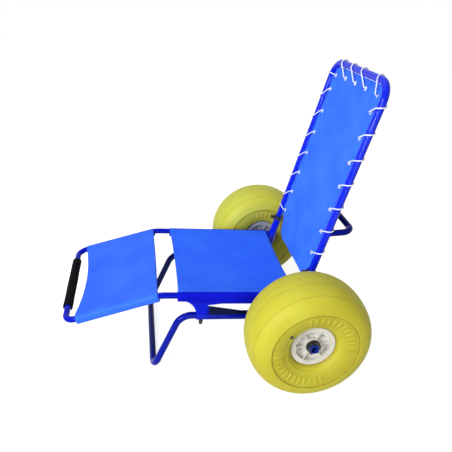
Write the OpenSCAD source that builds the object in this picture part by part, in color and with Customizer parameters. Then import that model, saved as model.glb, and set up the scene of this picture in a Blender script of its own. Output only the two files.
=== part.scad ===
// Beach wheelchair: tube chassis with canvas slings, plug-in backrest and front leg, balloon wheels.
// The chair faces -Y, +X is the sitter's left, +Z is up, and the floor is at zero.

/* [Wheels] */
// Diameter of a balloon tyre
wheel_d = 420; // [390:5:460]
// Width of a balloon tyre
tyre_w = 205; // [190:1:225]
// Distance from a seat rail's middle line to the tyre beside it
wheel_gap = 41.5; // [34:0.5:60]
// Wall of the tyre
tyre_wall = 4; // [3:0.5:6]
// Diameter of the raised ring on the tyre's side
tyre_ring_d = 296; // [270:2:310]
// Diameter of the hub's rim
hub_d = 148; // [140:1:170]
// Depth of the hub's rim inside the tyre's widest plane
hub_recess = 32; // [24:1:40]
// Depth of the hub's web inside its rim
hub_dish = 18; // [16:1:30]
// Wall of the hub mouldings
hub_wall = 4; // [3:0.5:6]
// Diameter of the hub's middle boss
boss_d = 54; // [50:1:60]
// Number of ribs on each side of a hub
hub_ribs = 6; // [5:1:8]
// Distance of a valve plug from the axle
valve_r = 110; // [100:1:120]
// Diameter of a valve plug
valve_d = 12; // [8:1:16]

/* [Axle] */
// Outer diameter of the axle tube
axle_d = 30; // [26:1:32]
// Wall of the axle tube
axle_wall = 3; // [2:0.5:4]
// Depth of the axle's end inside the tyre's widest plane
axle_recess = 15; // [10:1:20]
// Outer diameter of a bush in the hub
bush_d = 36; // [34:0.5:40]
// Thickness of a bush's flange
bush_flange = 3; // [2:0.5:4]
// Width of an inner stop ring
stop_w = 12; // [8:1:20]
// Diameter over the lobes of a retaining nut
nut_d = 46; // [42:1:52]
// Thickness of a retaining nut
nut_h = 11; // [8:1:14]

/* [Seat frame] */
// Distance between the seat rails
rail_spacing = 480; // [440:2:500]
// Outer diameter of the seat rails
rail_d = 22; // [20:0.5:25]
// Wall of the seat rails
rail_wall = 2; // [1.5:0.25:3]
// Height of the seat rails' rear ends above the axle
rail_rise = 48.4; // [43:0.2:58]
// Length of a seat rail from the upright to the knee bend
seat_len = 504; // [480:1:540]
// Rise of the seat towards the knees, in degrees
seat_slope = 9; // [6:0.5:11]
// Length of the leg rest from the knee bend to the grip
rest_len = 330; // [300:1:360]
// Drop of the leg rest towards the feet, in degrees
rest_slope = 9.4; // [5:0.1:13]
// Radius of the knee bends
knee_bend = 80; // [60:1:120]
// Radius of the bends beside the grip
grip_bend = 36; // [30:1:42]
// Outer diameter of the foam grip
grip_d = 34; // [30:1:38]
// Length of the foam grip
grip_len = 316; // [260:2:340]

/* [Chassis] */
// Distance of a lower tube inside its seat rail
lower_inset = 20; // [15:1:30]
// Outer diameter of a lower tube
lower_d = 32; // [31:0.5:36]
// Wall of a lower tube
lower_wall = 3; // [2.5:0.25:3]
// Distance from a seat rail down to the lower tube
lower_drop = 97; // [88:1:105]
// Length of a lower tube
lower_len = 375; // [350:1:390]
// Outer diameter of an upright
upright_d = 30; // [29.5:0.5:33]
// Wall of an upright
upright_wall = 2; // [1.5:0.25:2]
// Distance of the uprights' line behind the axle
upright_set = 13; // [11:1:15]
// Length of an upright above the axle
upright_len = 147; // [130:1:160]
// Thickness of a gusset plate
gusset_t = 5; // [3:0.5:6]
// Length of a gusset plate along the seat rail
gusset_len = 92; // [80:1:110]
// Length of the gusset's arched front edge along the lower tube
gusset_arch = 55; // [45:1:65]
// Height of the gusset's arched front edge above the lower tube's middle
gusset_arch_rise = 68; // [60:1:74]
// Length of the gusset's tail along the lower tube
gusset_tail = 175; // [120:1:200]
// Length of the gusset's lip along the seat rail, behind its notch
gusset_lip = 60; // [40:1:90]

/* [Backrest] */
// Lean of the backrest, in degrees
back_lean = 20; // [15:0.5:23]
// Distance of a backrest tube inside its seat rail
back_tube_inset = 14; // [10:1:25]
// Outer diameter of the backrest tube
back_d = 25; // [23:0.5:25]
// Wall of the backrest tube
back_wall = 2; // [1.5:0.25:3]
// Length of the backrest above the uprights
back_len = 670; // [640:1:720]
// Radius of the backrest's top bends
back_bend = 60; // [50:1:70]
// Height of the rear handle above the uprights
handle_rise = 154; // [120:1:200]
// Reach of the rear handle behind the backrest
handle_reach = 92; // [75:1:110]
// Drop of the rear handle towards its bar, in degrees
handle_drop = 3; // [0:0.5:8]
// Outer diameter of the rear handle's tube
handle_d = 22; // [20:0.5:22.5]
// Radius of the rear handle's bends
handle_bend = 40; // [32:1:50]

/* [Front leg] */
// Outer diameter of the front leg tube
leg_d = 25; // [23:0.5:25]
// Wall of the front leg tube
leg_wall = 2; // [1.5:0.25:3]
// Distance from a lower tube's mouth to the bend of the leg
leg_reach = 54; // [50:1:80]
// Angle of the leg below level, in degrees
leg_angle = 61; // [56:0.5:66]
// Depth of the leg inside the lower tube
leg_insert = 120; // [90:1:150]
// Radius of the leg's upper bends
leg_bend = 60; // [50:1:64]
// Radius of the bends beside the foot bar
foot_bend = 45; // [36:1:60]

/* [Slings] */
// Thickness of the canvas
cloth_t = 2; // [1.5:0.25:2.5]
// Sag of the seat sling in its middle
seat_sag = 16; // [8:1:24]
// Sag of the leg rest sling in its middle
rest_sag = 12; // [6:1:20]
// Slack under the rail inside the seat sling's sleeves
seat_slack = 14; // [10:0.5:18]
// Slack under the rail inside the leg sling's sleeves
rest_slack = 7; // [4:0.5:9]
// Distance from the knee bend to the leg sling
rest_gap = 8; // [6:1:14]
// Distance from the leg sling's sleeves to the grip
rest_end_gap = 38; // [36:1:62]
// Depth of the curve in the leg sling's front edge
rest_scoop = 16; // [8:1:24]
// Distance from the knee bend to the seat sling
seat_gap = 58; // [50:1:70]
// Distance from the seat sling's sleeves to the uprights' line
seat_end_gap = 26; // [22:1:56]
// Depth of the curve in the seat sling's front edge
seat_scoop = 6; // [3:0.5:12]
// Gap from the backrest tube's middle line to the edge of its sling
back_inset = 18; // [17.5:0.5:22]
// Height of the back sling in front of the tubes' middle plane
back_sling_set = 3; // [1:0.5:4]
// Height of the back sling's lower edge above the axle
back_hem_rise = 105; // [95:1:120]

/* [Lacing] */
// Diameter of the lacing cord
cord_d = 4.5; // [3.5:0.25:5]
// Inset of the eyelets from the backrest tube's middle line
eyelet_inset = 44; // [40:1:50]
// Height of the lowest eyelets above the axle
eyelet_low = 200; // [190:1:215]
// Distance between eyelets along the sides
side_pitch = 86; // [78:1:88]
// Distance between eyelets along the top
top_pitch = 88; // [80:1:96]

/* [Locking screws] */
// Diameter of a locking screw's head
screw_head_d = 14; // [11:0.5:17]
// Length of a locking screw's head
screw_head_h = 14; // [10:0.5:18]
// Diameter of a locking screw's thread
screw_d = 6; // [5:0.5:7]
// Outer diameter of the collar on an upright
collar_d = 38; // [36:0.5:42]
// Height of the collar on an upright
collar_h = 16; // [14:0.5:20]

/* [Hidden] */
$fn = 96;
// Overrun of every cut past the face that it opens
over = 2;
// Running clearance on the radius, on the axle and in the screws' threads
run_gap = 0.05;
// Clearance on the radius between pieces fixed to each other
seat_fit = 0.1;
// Clearance between faces that pass each other
pass_gap = 0.3;
// Clearance on the radius of a sling's sleeve on its rail
sleeve_gap = 0.4;
// Clearance of a sling's sleeve round a gusset
slot_gap = 1;

// Wheel sizes that follow from the driving sizes
axle_z = wheel_d / 2;
tyre_half = tyre_w / 2;
track = rail_spacing + 2 * wheel_gap + tyre_w;
hub_face = tyre_half - hub_recess;
// Thickness of the hub's rim flange
rim_t = 6;
// Height of the rim flange above the barrel that the tyre sits on
rim_lip = 12;
barrel_r = hub_d / 2 - rim_lip;
web_face = hub_face - hub_dish;
// Thickness of the hub's web
web_t = 5;
// Depth of the hub's ribs below the rim
rib_drop = 7;
boss_end = hub_face - bush_flange - pass_gap;
// Length of a bush inside the hub
bush_len = 30;
// Height of a bush's flange over the bush
bush_lip = 6;
// Circle of the hub bolts between boss and barrel
bolt_circle_r = (boss_d / 2 + barrel_r - hub_wall) / 2;
// Diameter of a hub bolt
bolt_d = 6;
// Width across the flats of a hub bolt's head and nut
bolt_hex = 10;
// Height of a hub bolt's head and nut
bolt_head_h = 4;
// Wall of the pillars round the hub bolts
pillar_wall = 3;
// Half width of the gap between the tyre's beads
bead_gap_half = 22;
// Radius of the tyre's widest circle, and the exponents of its section above and below it
tyre_mid_r = tyre_ring_d / 2;
crown_power = 2.3;
side_power = 2.6;
// Depth below the widest circle at which the section would close
side_depth = 86;
// Points along a quarter of the tyre's section
section_steps = 12;
// Height of a valve plug over the tyre's side
valve_h = 4;

// Axle sizes
axle_half = track / 2 + tyre_half - axle_recess;
bush_face = boss_end + bush_flange;
nut_lobes = 6;
// Share of the nut's width that its core takes
nut_core_share = 0.76;

// Turn nearest to an angle whose sine and cosine are whole counts of a small share of one,
// so that a bend and the straights beside it meet without a step
turn_share = 0.000001;
turn_steps = 500;
function even_turn(angle) =
    let (
        whole = round(1 / turn_share),
        tries = [for (i = [-turn_steps:turn_steps])
            let (a = round(sin(angle) * whole) + i, b = round(sqrt(whole * whole - a * a)))
            [abs(a * a + b * b - whole * whole), atan2(a, b)]],
        least = min([for (try = tries) try[0]])
    )
    [for (try = tries) if (try[0] == least) try[1]][0];
knee_turn = even_turn(seat_slope + rest_slope);
leg_turn = even_turn(leg_angle + seat_slope);
rest_drop = knee_turn - seat_slope;
leg_drop = leg_turn - seat_slope;

// Directions in the side view
forward_up = [0, -cos(seat_slope), sin(seat_slope)];
rail_down = [0, -sin(seat_slope), -cos(seat_slope)];
forward_down = [0, -cos(rest_drop), -sin(rest_drop)];
rest_up = [0, -sin(rest_drop), cos(rest_drop)];
leg_down = [0, -cos(leg_drop), -sin(leg_drop)];
lean_up = [0, sin(back_lean), cos(back_lean)];
lean_front = [0, -cos(back_lean), sin(back_lean)];
across = [1, 0, 0];
rearward = [0, 1, 0];
handle_back = [0, cos(handle_drop), -sin(handle_drop)];

// Main points in the side view, with the axle at zero along the chair
axle_point = [0, 0, axle_z];
upright_point = axle_point - upright_set * lean_front;
rail_up_len = (rail_rise + upright_set * sin(back_lean)) / cos(back_lean);
rail_end = upright_point + rail_up_len * lean_up;
knee = rail_end + seat_len * forward_up;
grip_point = knee + rest_len * forward_down;
lower_end = rail_end + lower_drop * rail_down;
lower_mouth = lower_end + lower_len * forward_up;
leg_corner = lower_mouth + leg_reach * forward_up;
leg_inner = lower_mouth - leg_insert * forward_up;
leg_len = (leg_corner[2] - leg_d / 2) / sin(leg_drop);
foot = leg_corner + leg_len * leg_down;
back_foot_rise = axle_d / 2 + pass_gap;
top_rise = upright_len + back_len;
back_top = upright_point + top_rise * lean_up;
handle_root = upright_point + (upright_len + handle_rise) * lean_up;

// Half spacings
rail_x = rail_spacing / 2;
lower_x = rail_x - lower_inset;
lower_spacing = 2 * lower_x;
back_x = rail_x - back_tube_inset;
back_spacing = 2 * back_x;
rest_sling_len = rest_len - rest_gap - rest_end_gap;
seat_sling_len = seat_len - seat_gap - seat_end_gap;

// The part's middle along the chair lies at zero
front_reach = grip_point[1] - grip_d / 2;
rear_reach = back_top[1] + back_d / 2 + sleeve_gap + cord_d;
frame_shift = -(front_reach + rear_reach) / 2;

// Gusset places along the rail, as shares of the gusset's own sizes
notch_rise_share = 0.51;
lip_rise_share = 0.4;
gusset_front = lower_len + gusset_arch;
// Radius of the gusset's rounded notch
notch_round = 2.5;

// Locking screw places
// Height of the collar's lip over the upright's end
collar_lip = 4;
// Distance from an upright's top to its locking screw
back_lock_set = 6;
collar_mid = upright_len - back_lock_set;
// Distance from a lower tube's mouth to its locking screw
leg_lock_set = 19;
// Height of the welded boss under a lower tube, and its wall
lock_boss_h = 6;
lock_boss_wall = 5;
// Radius of the rounded edge of a screw's head
head_round = 2;
// Length of the plug in a lower tube's rear end, and the thickness of its head
plug_len = 18;
plug_head = 3;

// Eyelet sizes
eyelet_hole_d = 8;
eyelet_wall = 0.8;
eyelet_flange_d = 16;
eyelet_flange_t = 0.8;
side_eyelets = 7;
top_eyelets = 3;
// Radius of the cord's bend at an eyelet and its straight run through the eyelet's middle
cord_bend = 6;
cord_run = 1.5;
// Lead of the cord round the tube before each eyelet, as shares of the eyelets' pitch
first_lead_share = 0;
right_lead_share = 0.48;
left_lead_share = 0.33;
top_lead_share = 0.68;
// Advance of the cord along the tube while it turns round it, as a share of its diameter
wrap_advance_share = 2;
wrap_steps = 13;
// Angles round the tube, from its outer side, at which the cord meets it behind and leaves it in front
wrap_back_angle = 107;
wrap_front_angle = 97;
strand_steps = 4;
bend_steps = 3;
cord_sides = 6;
wrap_r = back_d / 2 + sleeve_gap + cord_d / 2;
knot_d = 11;

// Vector helpers
function unit(v) = v / norm(v);
function mid_x(x) = x * across;
function flat(v, d) = unit(v - (v * d) * d);

// Places children with local X, Y and Z along three square directions
module framed(origin, x_dir, y_dir, z_dir) {
    multmatrix([
        [x_dir[0], y_dir[0], z_dir[0], origin[0]],
        [x_dir[1], y_dir[1], z_dir[1], origin[1]],
        [x_dir[2], y_dir[2], z_dir[2], origin[2]],
        [0, 0, 0, 1]
    ]) children();
}

// Stands children on a point, with local Z along a direction and local X near a side direction
function side_of(z_dir) = abs(z_dir[0]) > cos(45) ? rearward : across;

module along(origin, z_dir, x_near) {
    x_dir = flat(is_undef(x_near) ? side_of(z_dir) : x_near, z_dir);
    framed(origin, x_dir, cross(z_dir, x_dir), z_dir) children();
}

// Puts the part's middle at zero
module placed() {
    translate([0, frame_shift, 0]) children();
}

// Mirrors children to the sitter's right where side is -1
module sided(side) {
    if (side > 0) children();
    else mirror(across) children();
}

module rod(from, to, r) {
    along(from, unit(to - from)) cylinder(h = norm(to - from), r = r);
}

// Length that a bend takes from the straight on each side of it
function bend_trim(turn, bend) = bend * tan(turn / 2);

module ring_bar(length, outer_d, wall) {
    difference() {
        cylinder(h = length, r = outer_d / 2);
        translate([0, 0, -over]) cylinder(h = length + 2 * over, r = outer_d / 2 - wall);
    }
}

// Bend about local Y, cut from a whole ring at the planes of the straights on both its sides
module bend_ring(bend, turn, outer_d, wall) {
    reach = bend + outer_d;
    difference() {
        rotate([90, 0, 0]) rotate_extrude() translate([bend, 0]) difference() {
            circle(r = outer_d / 2);
            circle(r = outer_d / 2 - wall);
        }
        translate([-reach, -reach, -2 * reach]) cube(2 * reach);
        rotate([0, turn, 0]) translate([-reach, -reach, 0]) cube(2 * reach);
    }
}

// Tube along local Z. A step holds a straight length, then the turn, radius and roll of the bend after it.
// Each bend turns the tube towards the rolled local X, and the seam runs along the outside of the bends
module bent_run(steps, outer_d, wall, i = 0) {
    turn = steps[i][1];
    bend = steps[i][2];
    rotate(180) ring_bar(steps[i][0], outer_d, wall);
    if (i < len(steps) - 1) translate([0, 0, steps[i][0]]) rotate(steps[i][3]) translate([bend, 0, 0]) {
        bend_ring(bend, turn, outer_d, wall);
        rotate([0, turn, 0]) translate([-bend, 0, 0]) bent_run(steps, outer_d, wall, i + 1);
    }
}

// Steps of a U with square corners, and of a U whose legs are bent once more
function u_steps(leg, width, bend) =
    [[leg - bend, 90, bend, 0], [width - 2 * bend, 90, bend, 0], [leg - bend]];
function bent_u_steps(leg, turn, knee_r, shin, width, bend) =
    let (trim = bend_trim(turn, knee_r))
    [
        [leg - trim, turn, knee_r, 0], [shin - trim - bend, 90, bend, -90], [width - 2 * bend, 90, bend, 0],
        [shin - trim - bend, turn, knee_r, 90], [leg - trim]
    ];

module straight_tube(from, to, outer_d, wall) {
    along(from, unit(to - from)) ring_bar(norm(to - from), outer_d, wall);
}

// Outer cylinders of pieces that others are shaped against
module upright_bar(grow = 0) {
    rod(mid_x(back_x) + upright_point - upright_len * lean_up,
        mid_x(back_x) + upright_point + upright_len * lean_up, upright_d / 2 + grow);
}

module lower_bar() {
    rod(mid_x(lower_x) + lower_end, mid_x(lower_x) + lower_mouth + over * forward_up, lower_d / 2);
}

module axle_bar(r) {
    rod(axle_point - mid_x(axle_half), axle_point + mid_x(axle_half), r);
}

module back_bar() {
    rod(mid_x(back_x) + upright_point + back_foot_rise * lean_up,
        mid_x(back_x) + upright_point + (top_rise - back_bend) * lean_up, back_d / 2);
}

// Seat and leg rest frame: one tube bent into a U, knee bends in both rails
module seat_frame() {
    color("mediumblue") placed() difference() {
        along(mid_x(rail_x) + rail_end, forward_up, rail_down) bent_run(
            bent_u_steps(seat_len, knee_turn, knee_bend, rest_len, rail_spacing, grip_bend),
            rail_d, rail_wall);
        for (side = [-1, 1]) sided(side) upright_bar();
    }
}

module front_grip() {
    // Radius of the grip's rounded ends
    end_round = (grip_d - rail_d) / 4;
    color("#16181c") placed() along(grip_point - mid_x(grip_len / 2), across) rotate_extrude() difference() {
        union() {
            translate([0, end_round]) square([grip_d / 2, grip_len - 2 * end_round]);
            square([grip_d / 2 - end_round, grip_len]);
            for (end = [end_round, grip_len - end_round])
                translate([grip_d / 2 - end_round, end]) circle(r = end_round);
        }
        translate([0, -over]) square([rail_d / 2 + seat_fit, grip_len + 2 * over]);
    }
}

// Lower tube, open in front for the leg
module lower_tube(side) {
    color("mediumblue") placed() sided(side) difference() {
        straight_tube(mid_x(lower_x) + lower_end, mid_x(lower_x) + lower_mouth, lower_d, lower_wall);
        leg_lock_bore();
    }
}

module tube_plugs() {
    color("#16181c") placed() for (side = [-1, 1]) sided(side) along(mid_x(lower_x) + lower_end, forward_up) {
        translate([0, 0, -plug_head]) cylinder(h = plug_head, r = lower_d / 2);
        cylinder(h = plug_len, r = lower_d / 2 - lower_wall - seat_fit);
    }
}

// Gusset outline: x runs forward along the rail from the upright, y up from the rail
arch_steps = 24;
function arch_points() = [for (i = [0:arch_steps])
    let (a = 90 + 90 * i / arch_steps)
    [gusset_front + gusset_arch * cos(a), gusset_arch_rise * sin(a) - lower_drop]];

module gusset_outline() {
    tube_top = -lower_drop + lower_d / 2;
    notch_x = gusset_front - gusset_len;
    tail_x = notch_x - gusset_tail;
    lip = [notch_x - gusset_lip, -lip_rise_share * lower_drop];
    middle = [notch_x - notch_round, -notch_rise_share * lower_drop];
    tail_tilt = atan2(middle[1] - notch_round - tube_top, middle[0] - tail_x);
    lip_tilt = atan2(lip[1] - middle[1] - notch_round, middle[0] - lip[0]);
    polygon(concat(
        [[gusset_front, 0]], arch_points(), [[tail_x, -lower_drop], [tail_x, tube_top]],
        arc(middle, notch_round, tail_tilt - 90, 90 - lip_tilt), [lip, [lip[0], 0]]
    ));
}

// Plate between the rail and the lower tube, from an outline
module in_gusset(thickness) {
    framed(mid_x((rail_x + lower_x) / 2) + rail_end, forward_up, -rail_down, across)
        linear_extrude(thickness, center = true) children();
}

module gusset(side) {
    color("mediumblue") placed() sided(side) difference() {
        in_gusset(gusset_t) gusset_outline();
        rod(mid_x(rail_x) + rail_end, mid_x(rail_x) + knee, rail_d / 2);
        lower_bar();
    }
}

// Upright: stands on the lower tube, notched round the axle, open at the top for the backrest
module upright(side) {
    color("mediumblue") placed() sided(side) difference() {
        straight_tube(mid_x(back_x) + upright_point - upright_foot_len * lean_up,
            mid_x(back_x) + upright_point + upright_len * lean_up, upright_d, upright_wall);
        lower_bar();
        axle_bar(axle_d / 2);
        back_lock_bore();
    }
}

// Length of an upright below the axle, down to the lower tube's middle line
upright_foot_len = ((upright_point - lower_end) * rail_down) / (lean_up * rail_down);

module axle_tube() {
    color("mediumblue") placed() difference() {
        axle_bar(axle_d / 2);
        rod(axle_point - mid_x(axle_half + over), axle_point + mid_x(axle_half + over), axle_d / 2 - axle_wall);
    }
}

// Stop ring on the axle behind each wheel
module axle_stops() {
    color("#2a2b2e") placed() for (side = [-1, 1]) sided(side)
        along(axle_point + mid_x(track / 2 - bush_face - pass_gap - stop_w), across) difference() {
            cylinder(h = stop_w, r = bush_d / 2 + bush_lip);
            translate([0, 0, -over]) cylinder(h = stop_w + 2 * over, r = axle_d / 2 + seat_fit);
        }
}

// Collar over the end of an upright, with a lip that closes the gap to the backrest tube
module back_lock_collar(side) {
    base = mid_x(back_x) + upright_point + (upright_len - collar_h + collar_lip) * lean_up;
    color("#1a1b20") placed() sided(side) difference() {
        along(base, lean_up) difference() {
            cylinder(h = collar_h, r = collar_d / 2);
            translate([0, 0, -over]) cylinder(h = collar_h - collar_lip + over, r = upright_d / 2 + seat_fit);
            cylinder(h = collar_h + over, r = back_d / 2 + pass_gap);
        }
        back_lock_bore();
    }
}

// Locking screws
back_lock_point = mid_x(back_x) + upright_point + collar_mid * lean_up;
leg_lock_point = mid_x(lower_x) + lower_mouth - leg_lock_set * forward_up;

module back_lock_bore() {
    rod(back_lock_point, back_lock_point + collar_d * lean_front, screw_d / 2 + run_gap);
}

module leg_lock_bore() {
    rod(leg_lock_point, leg_lock_point + lower_d * rail_down, screw_d / 2 + run_gap);
}

// Screw from its tip to its head, along local Z
module locking_screw(tip, seat) {
    translate([0, 0, tip]) cylinder(h = seat - tip + head_round, r = screw_d / 2);
    translate([0, 0, seat]) rotate_extrude() union() {
        square([screw_head_d / 2 - head_round, screw_head_h]);
        translate([0, head_round]) square([screw_head_d / 2, screw_head_h - 2 * head_round]);
        for (edge = [head_round, screw_head_h - head_round])
            translate([screw_head_d / 2 - head_round, edge]) circle(r = head_round);
    }
}

module back_lock(side) {
    color("#1a1b20") placed() sided(side) along(back_lock_point, lean_front)
        locking_screw(back_d / 2 + pass_gap, collar_d / 2 + pass_gap);
}

module leg_lock(side) {
    color("#1a1b20") placed() sided(side) along(leg_lock_point, rail_down)
        locking_screw(leg_d / 2 + pass_gap, lower_d / 2 + lock_boss_h + pass_gap);
}

module leg_lock_bosses() {
    color("mediumblue") placed() for (side = [-1, 1]) sided(side) difference() {
        rod(leg_lock_point, leg_lock_point + (lower_d / 2 + lock_boss_h) * rail_down,
            screw_d / 2 + lock_boss_wall);
        lower_bar();
        leg_lock_bore();
    }
}

// Backrest
module back_frame() {
    color("mediumblue") placed()
        along(mid_x(back_x) + upright_point + back_foot_rise * lean_up, lean_up, -across)
            bent_run(u_steps(top_rise - back_foot_rise, back_spacing, back_bend), back_d, back_wall);
}

module rear_handle() {
    color("mediumblue") placed() difference() {
        along(mid_x(back_x) + handle_root, handle_back, -across)
            bent_run(u_steps(handle_reach, back_spacing, handle_bend), handle_d, back_wall);
        for (side = [-1, 1]) sided(side) back_bar();
    }
}

// Front leg
module front_leg() {
    color("mediumblue") placed() along(mid_x(lower_x) + leg_inner, forward_up, rail_down) bent_run(
        bent_u_steps(leg_insert + leg_reach, leg_turn, leg_bend, leg_len, lower_spacing, foot_bend),
        leg_d, leg_wall);
}

// Points of an arc round a centre, from one angle to another
arc_steps = 12;
function arc(centre, r, from, to) = [for (i = [0:arc_steps])
    let (a = from + (to - from) * i / arc_steps) centre + r * [cos(a), sin(a)]];
function turned_back(points) = [for (i = [len(points) - 1:-1:0]) points[i]];
function mirrored(points) = [for (point = turned_back(points)) [-point[0], point[1]]];

// Sling section seen along the rails: a sleeve round each rail and a sagging sheet between them
sleeve_r = rail_d / 2 + sleeve_gap;
// Angles on the left sleeve at which the sheet's top and underside leave it
sheet_top_angle = 114;
sheet_under_angle = 132;
sag_steps = 24;
function sag_points(from, sag) = [for (i = [1:sag_steps - 1])
    let (x = 1 - 2 * i / sag_steps) [x * from[0], from[1] - sag * (1 - x * x)]];
function sleeve_points(r, slack, from, to) = concat(
    arc([rail_x, 0], r, from, 0), arc([rail_x, -slack], r, 0, -180), arc([rail_x, 0], r, 180, to));

module sling_section(sag, slack) {
    outer_r = sleeve_r + cloth_t;
    sleeve = sleeve_points(outer_r, slack, sheet_top_angle, sheet_under_angle);
    under = sag_points(sleeve[len(sleeve) - 1], sag);
    top = sag_points(sleeve[0], sag);
    outline = concat(sleeve, under, mirrored(sleeve), turned_back(top));
    hole = concat(arc([rail_x, 0], sleeve_r, 180, 0), arc([rail_x, -slack], sleeve_r, 0, -180));
    difference() {
        polygon(outline);
        polygon(hole);
        polygon(mirrored(hole));
    }
}

// Curve cut into a sling's front edge between its sleeves, along local Z
module scoop_cut(depth) {
    half = rail_x - sleeve_r - cloth_t;
    curve_r = (pow(half, 2) + pow(depth, 2)) / (2 * depth);
    swing = asin(half / curve_r);
    rotate([90, 0, 0]) linear_extrude(4 * rail_d, center = true) polygon(concat(
        arc([0, depth - curve_r], curve_r, 90 - swing, 90 + swing), [[-half, -over], [half, -over]]));
}

// Sling along local Z from its front edge
module sling(length, sag, slack, scoop) {
    difference() {
        linear_extrude(length) sling_section(sag, slack);
        scoop_cut(scoop);
    }
}

module leg_sling() {
    front = knee + (rest_gap + rest_sling_len) * forward_down;
    color("royalblue") placed() framed(front, -across, rest_up, -forward_down)
        sling(rest_sling_len, rest_sag, rest_slack, rest_scoop);
}

// Slot in the seat sling's sleeve, round the gusset
module gusset_slot() {
    length = gusset_len + gusset_lip + 2 * slot_gap;
    translate([gusset_front + slot_gap - length, -rail_d - 2 * seat_slack])
        square([length, rail_d + 2 * seat_slack + slot_gap]);
}

module seat_sling() {
    front = knee - seat_gap * forward_up;
    color("royalblue") placed() difference() {
        framed(front, -across, -rail_down, -forward_up) sling(seat_sling_len, seat_sag, seat_slack, seat_scoop);
        for (side = [-1, 1]) sided(side) in_gusset(gusset_t + 2 * slot_gap) gusset_slot();
    }
}

// Back sling outline in the backrest's plane: x across, y up from the axle
module back_outline() {
    half = back_x - back_inset;
    corner = back_bend - back_inset;
    top = top_rise - back_inset;
    neck = back_x - eyelet_inset - eyelet_flange_d / 2;
    ear = eyelet_low - eyelet_flange_d;
    left = concat(
        arc([neck - eyelet_inset, back_hem_rise + eyelet_inset], eyelet_inset, -90, 0),
        [[neck, ear - eyelet_inset / 2], [half, ear]],
        arc([half - corner, top - corner], corner, 0, 90)
    );
    polygon(concat(left, mirrored(left)));
}

module in_back() {
    placed() framed(upright_point, across, lean_up, lean_front) children();
}

module back_sling() {
    color("cornflowerblue") in_back() difference() {
        translate([0, 0, back_sling_set - cloth_t / 2]) linear_extrude(cloth_t) back_outline();
        at_eyelets()
            cylinder(h = cloth_t + 2 * over, r = eyelet_hole_d / 2 + eyelet_wall + seat_fit, center = true);
    }
}

// Way along the backrest tube's middle line, from the lowest eyelet on the right, over the top, to the left
side_way = top_rise - back_bend - eyelet_low;
bend_way = back_bend * PI / 2;
top_way = 2 * (back_x - back_bend);
full_way = 2 * side_way + 2 * bend_way + top_way;

// Angle of travel along that way, in degrees, and the point on it
function way_angle(s) =
    s < side_way ? 90 :
    s < side_way + bend_way ? 90 - 90 * (s - side_way) / bend_way :
    s < side_way + bend_way + top_way ? 0 :
    s < full_way - side_way ? -90 * (s - side_way - bend_way - top_way) / bend_way : -90;

function way_point(s) =
    s < side_way ? [-back_x, eyelet_low + s, 0] :
    s < side_way + bend_way ?
        [-back_x + back_bend, top_rise - back_bend, 0] - back_bend * inward_at(s) :
    s < side_way + bend_way + top_way ? [-back_x + back_bend + s - side_way - bend_way, top_rise, 0] :
    s < full_way - side_way ?
        [back_x - back_bend, top_rise - back_bend, 0] - back_bend * inward_at(s) :
    [back_x, eyelet_low + full_way - s, 0];

function inward_at(s) = [sin(way_angle(s)), -cos(way_angle(s)), 0];

// Places of the eyelets along the way, and the cord's lead before each
stations = concat(
    [for (i = [0:side_eyelets - 1]) i * side_pitch],
    [side_way + bend_way / 2],
    [for (i = [0:top_eyelets - 1]) full_way / 2 + (i - (top_eyelets - 1) / 2) * top_pitch],
    [full_way - side_way - bend_way / 2],
    [for (i = [side_eyelets - 1:-1:0]) full_way - i * side_pitch]
);
last_station = len(stations) - 1;
function lead(k) =
    k == 0 ? first_lead_share * side_pitch :
    k <= side_eyelets ? right_lead_share * side_pitch :
    k <= side_eyelets + top_eyelets + 1 ? top_lead_share * top_pitch : left_lead_share * side_pitch;
function eyelet_at(k) = way_point(stations[k]) + eyelet_inset * inward_at(stations[k]);
// The cord bears on the eyelet's side that is nearer to the tube
function bearing_at(k) = eyelet_at(k) - (eyelet_hole_d / 2 - cord_d / 2 - pass_gap) * inward_at(stations[k]);

module at_eyelets() {
    for (k = [0:last_station]) translate(eyelet_at(k) + [0, 0, back_sling_set]) children();
}

// Eyelets: a sleeve through the canvas with a flange on each face
module grommets() {
    color("silver") in_back() at_eyelets() rotate_extrude() {
        translate([eyelet_hole_d / 2, -cloth_t / 2 - eyelet_flange_t])
            square([eyelet_wall, cloth_t + 2 * eyelet_flange_t]);
        for (face = [-cloth_t / 2 - eyelet_flange_t, cloth_t / 2])
            translate([eyelet_hole_d / 2, face])
                square([(eyelet_flange_d - eyelet_hole_d) / 2, eyelet_flange_t]);
    }
}

// Cord round the tube at one station, from behind it over its outer side to its front
function wrap_at(k, angle) =
    let (s = stations[k] - lead(k) + wrap_advance_share * cord_d * angle / wrap_back_angle)
    way_point(s) + wrap_r * (-cos(angle) * inward_at(s) + sin(angle) * [0, 0, 1]);
function wrap(k) = [for (i = [0:wrap_steps - 1])
    wrap_at(k, (wrap_back_angle + wrap_front_angle) * i / (wrap_steps - 1) - wrap_back_angle)];

// Bend of the cord into or out of an eyelet, on the side that face gives, towards a point
function eyelet_bend(k, toward, face, angle) =
    let (hole = bearing_at(k), out = unit([toward[0] - hole[0], toward[1] - hole[1], 0]))
    hole + cord_bend * (1 - sin(angle)) * out
        + [0, 0, back_sling_set + face * (cord_run + cord_bend * cos(angle))];

// Points strictly between two points
function between(a, b, n) = [for (i = [1:n]) a + (b - a) * i / (n + 1)];

function front_bend(k) = [for (i = [0:bend_steps])
    eyelet_bend(k, wrap_at(k, wrap_front_angle), 1, 90 * i / bend_steps)];
function back_bend_out(k) = [for (i = [bend_steps:-1:0])
    eyelet_bend(k, wrap_at(k + 1, -wrap_back_angle), -1, 90 * i / bend_steps)];

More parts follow.
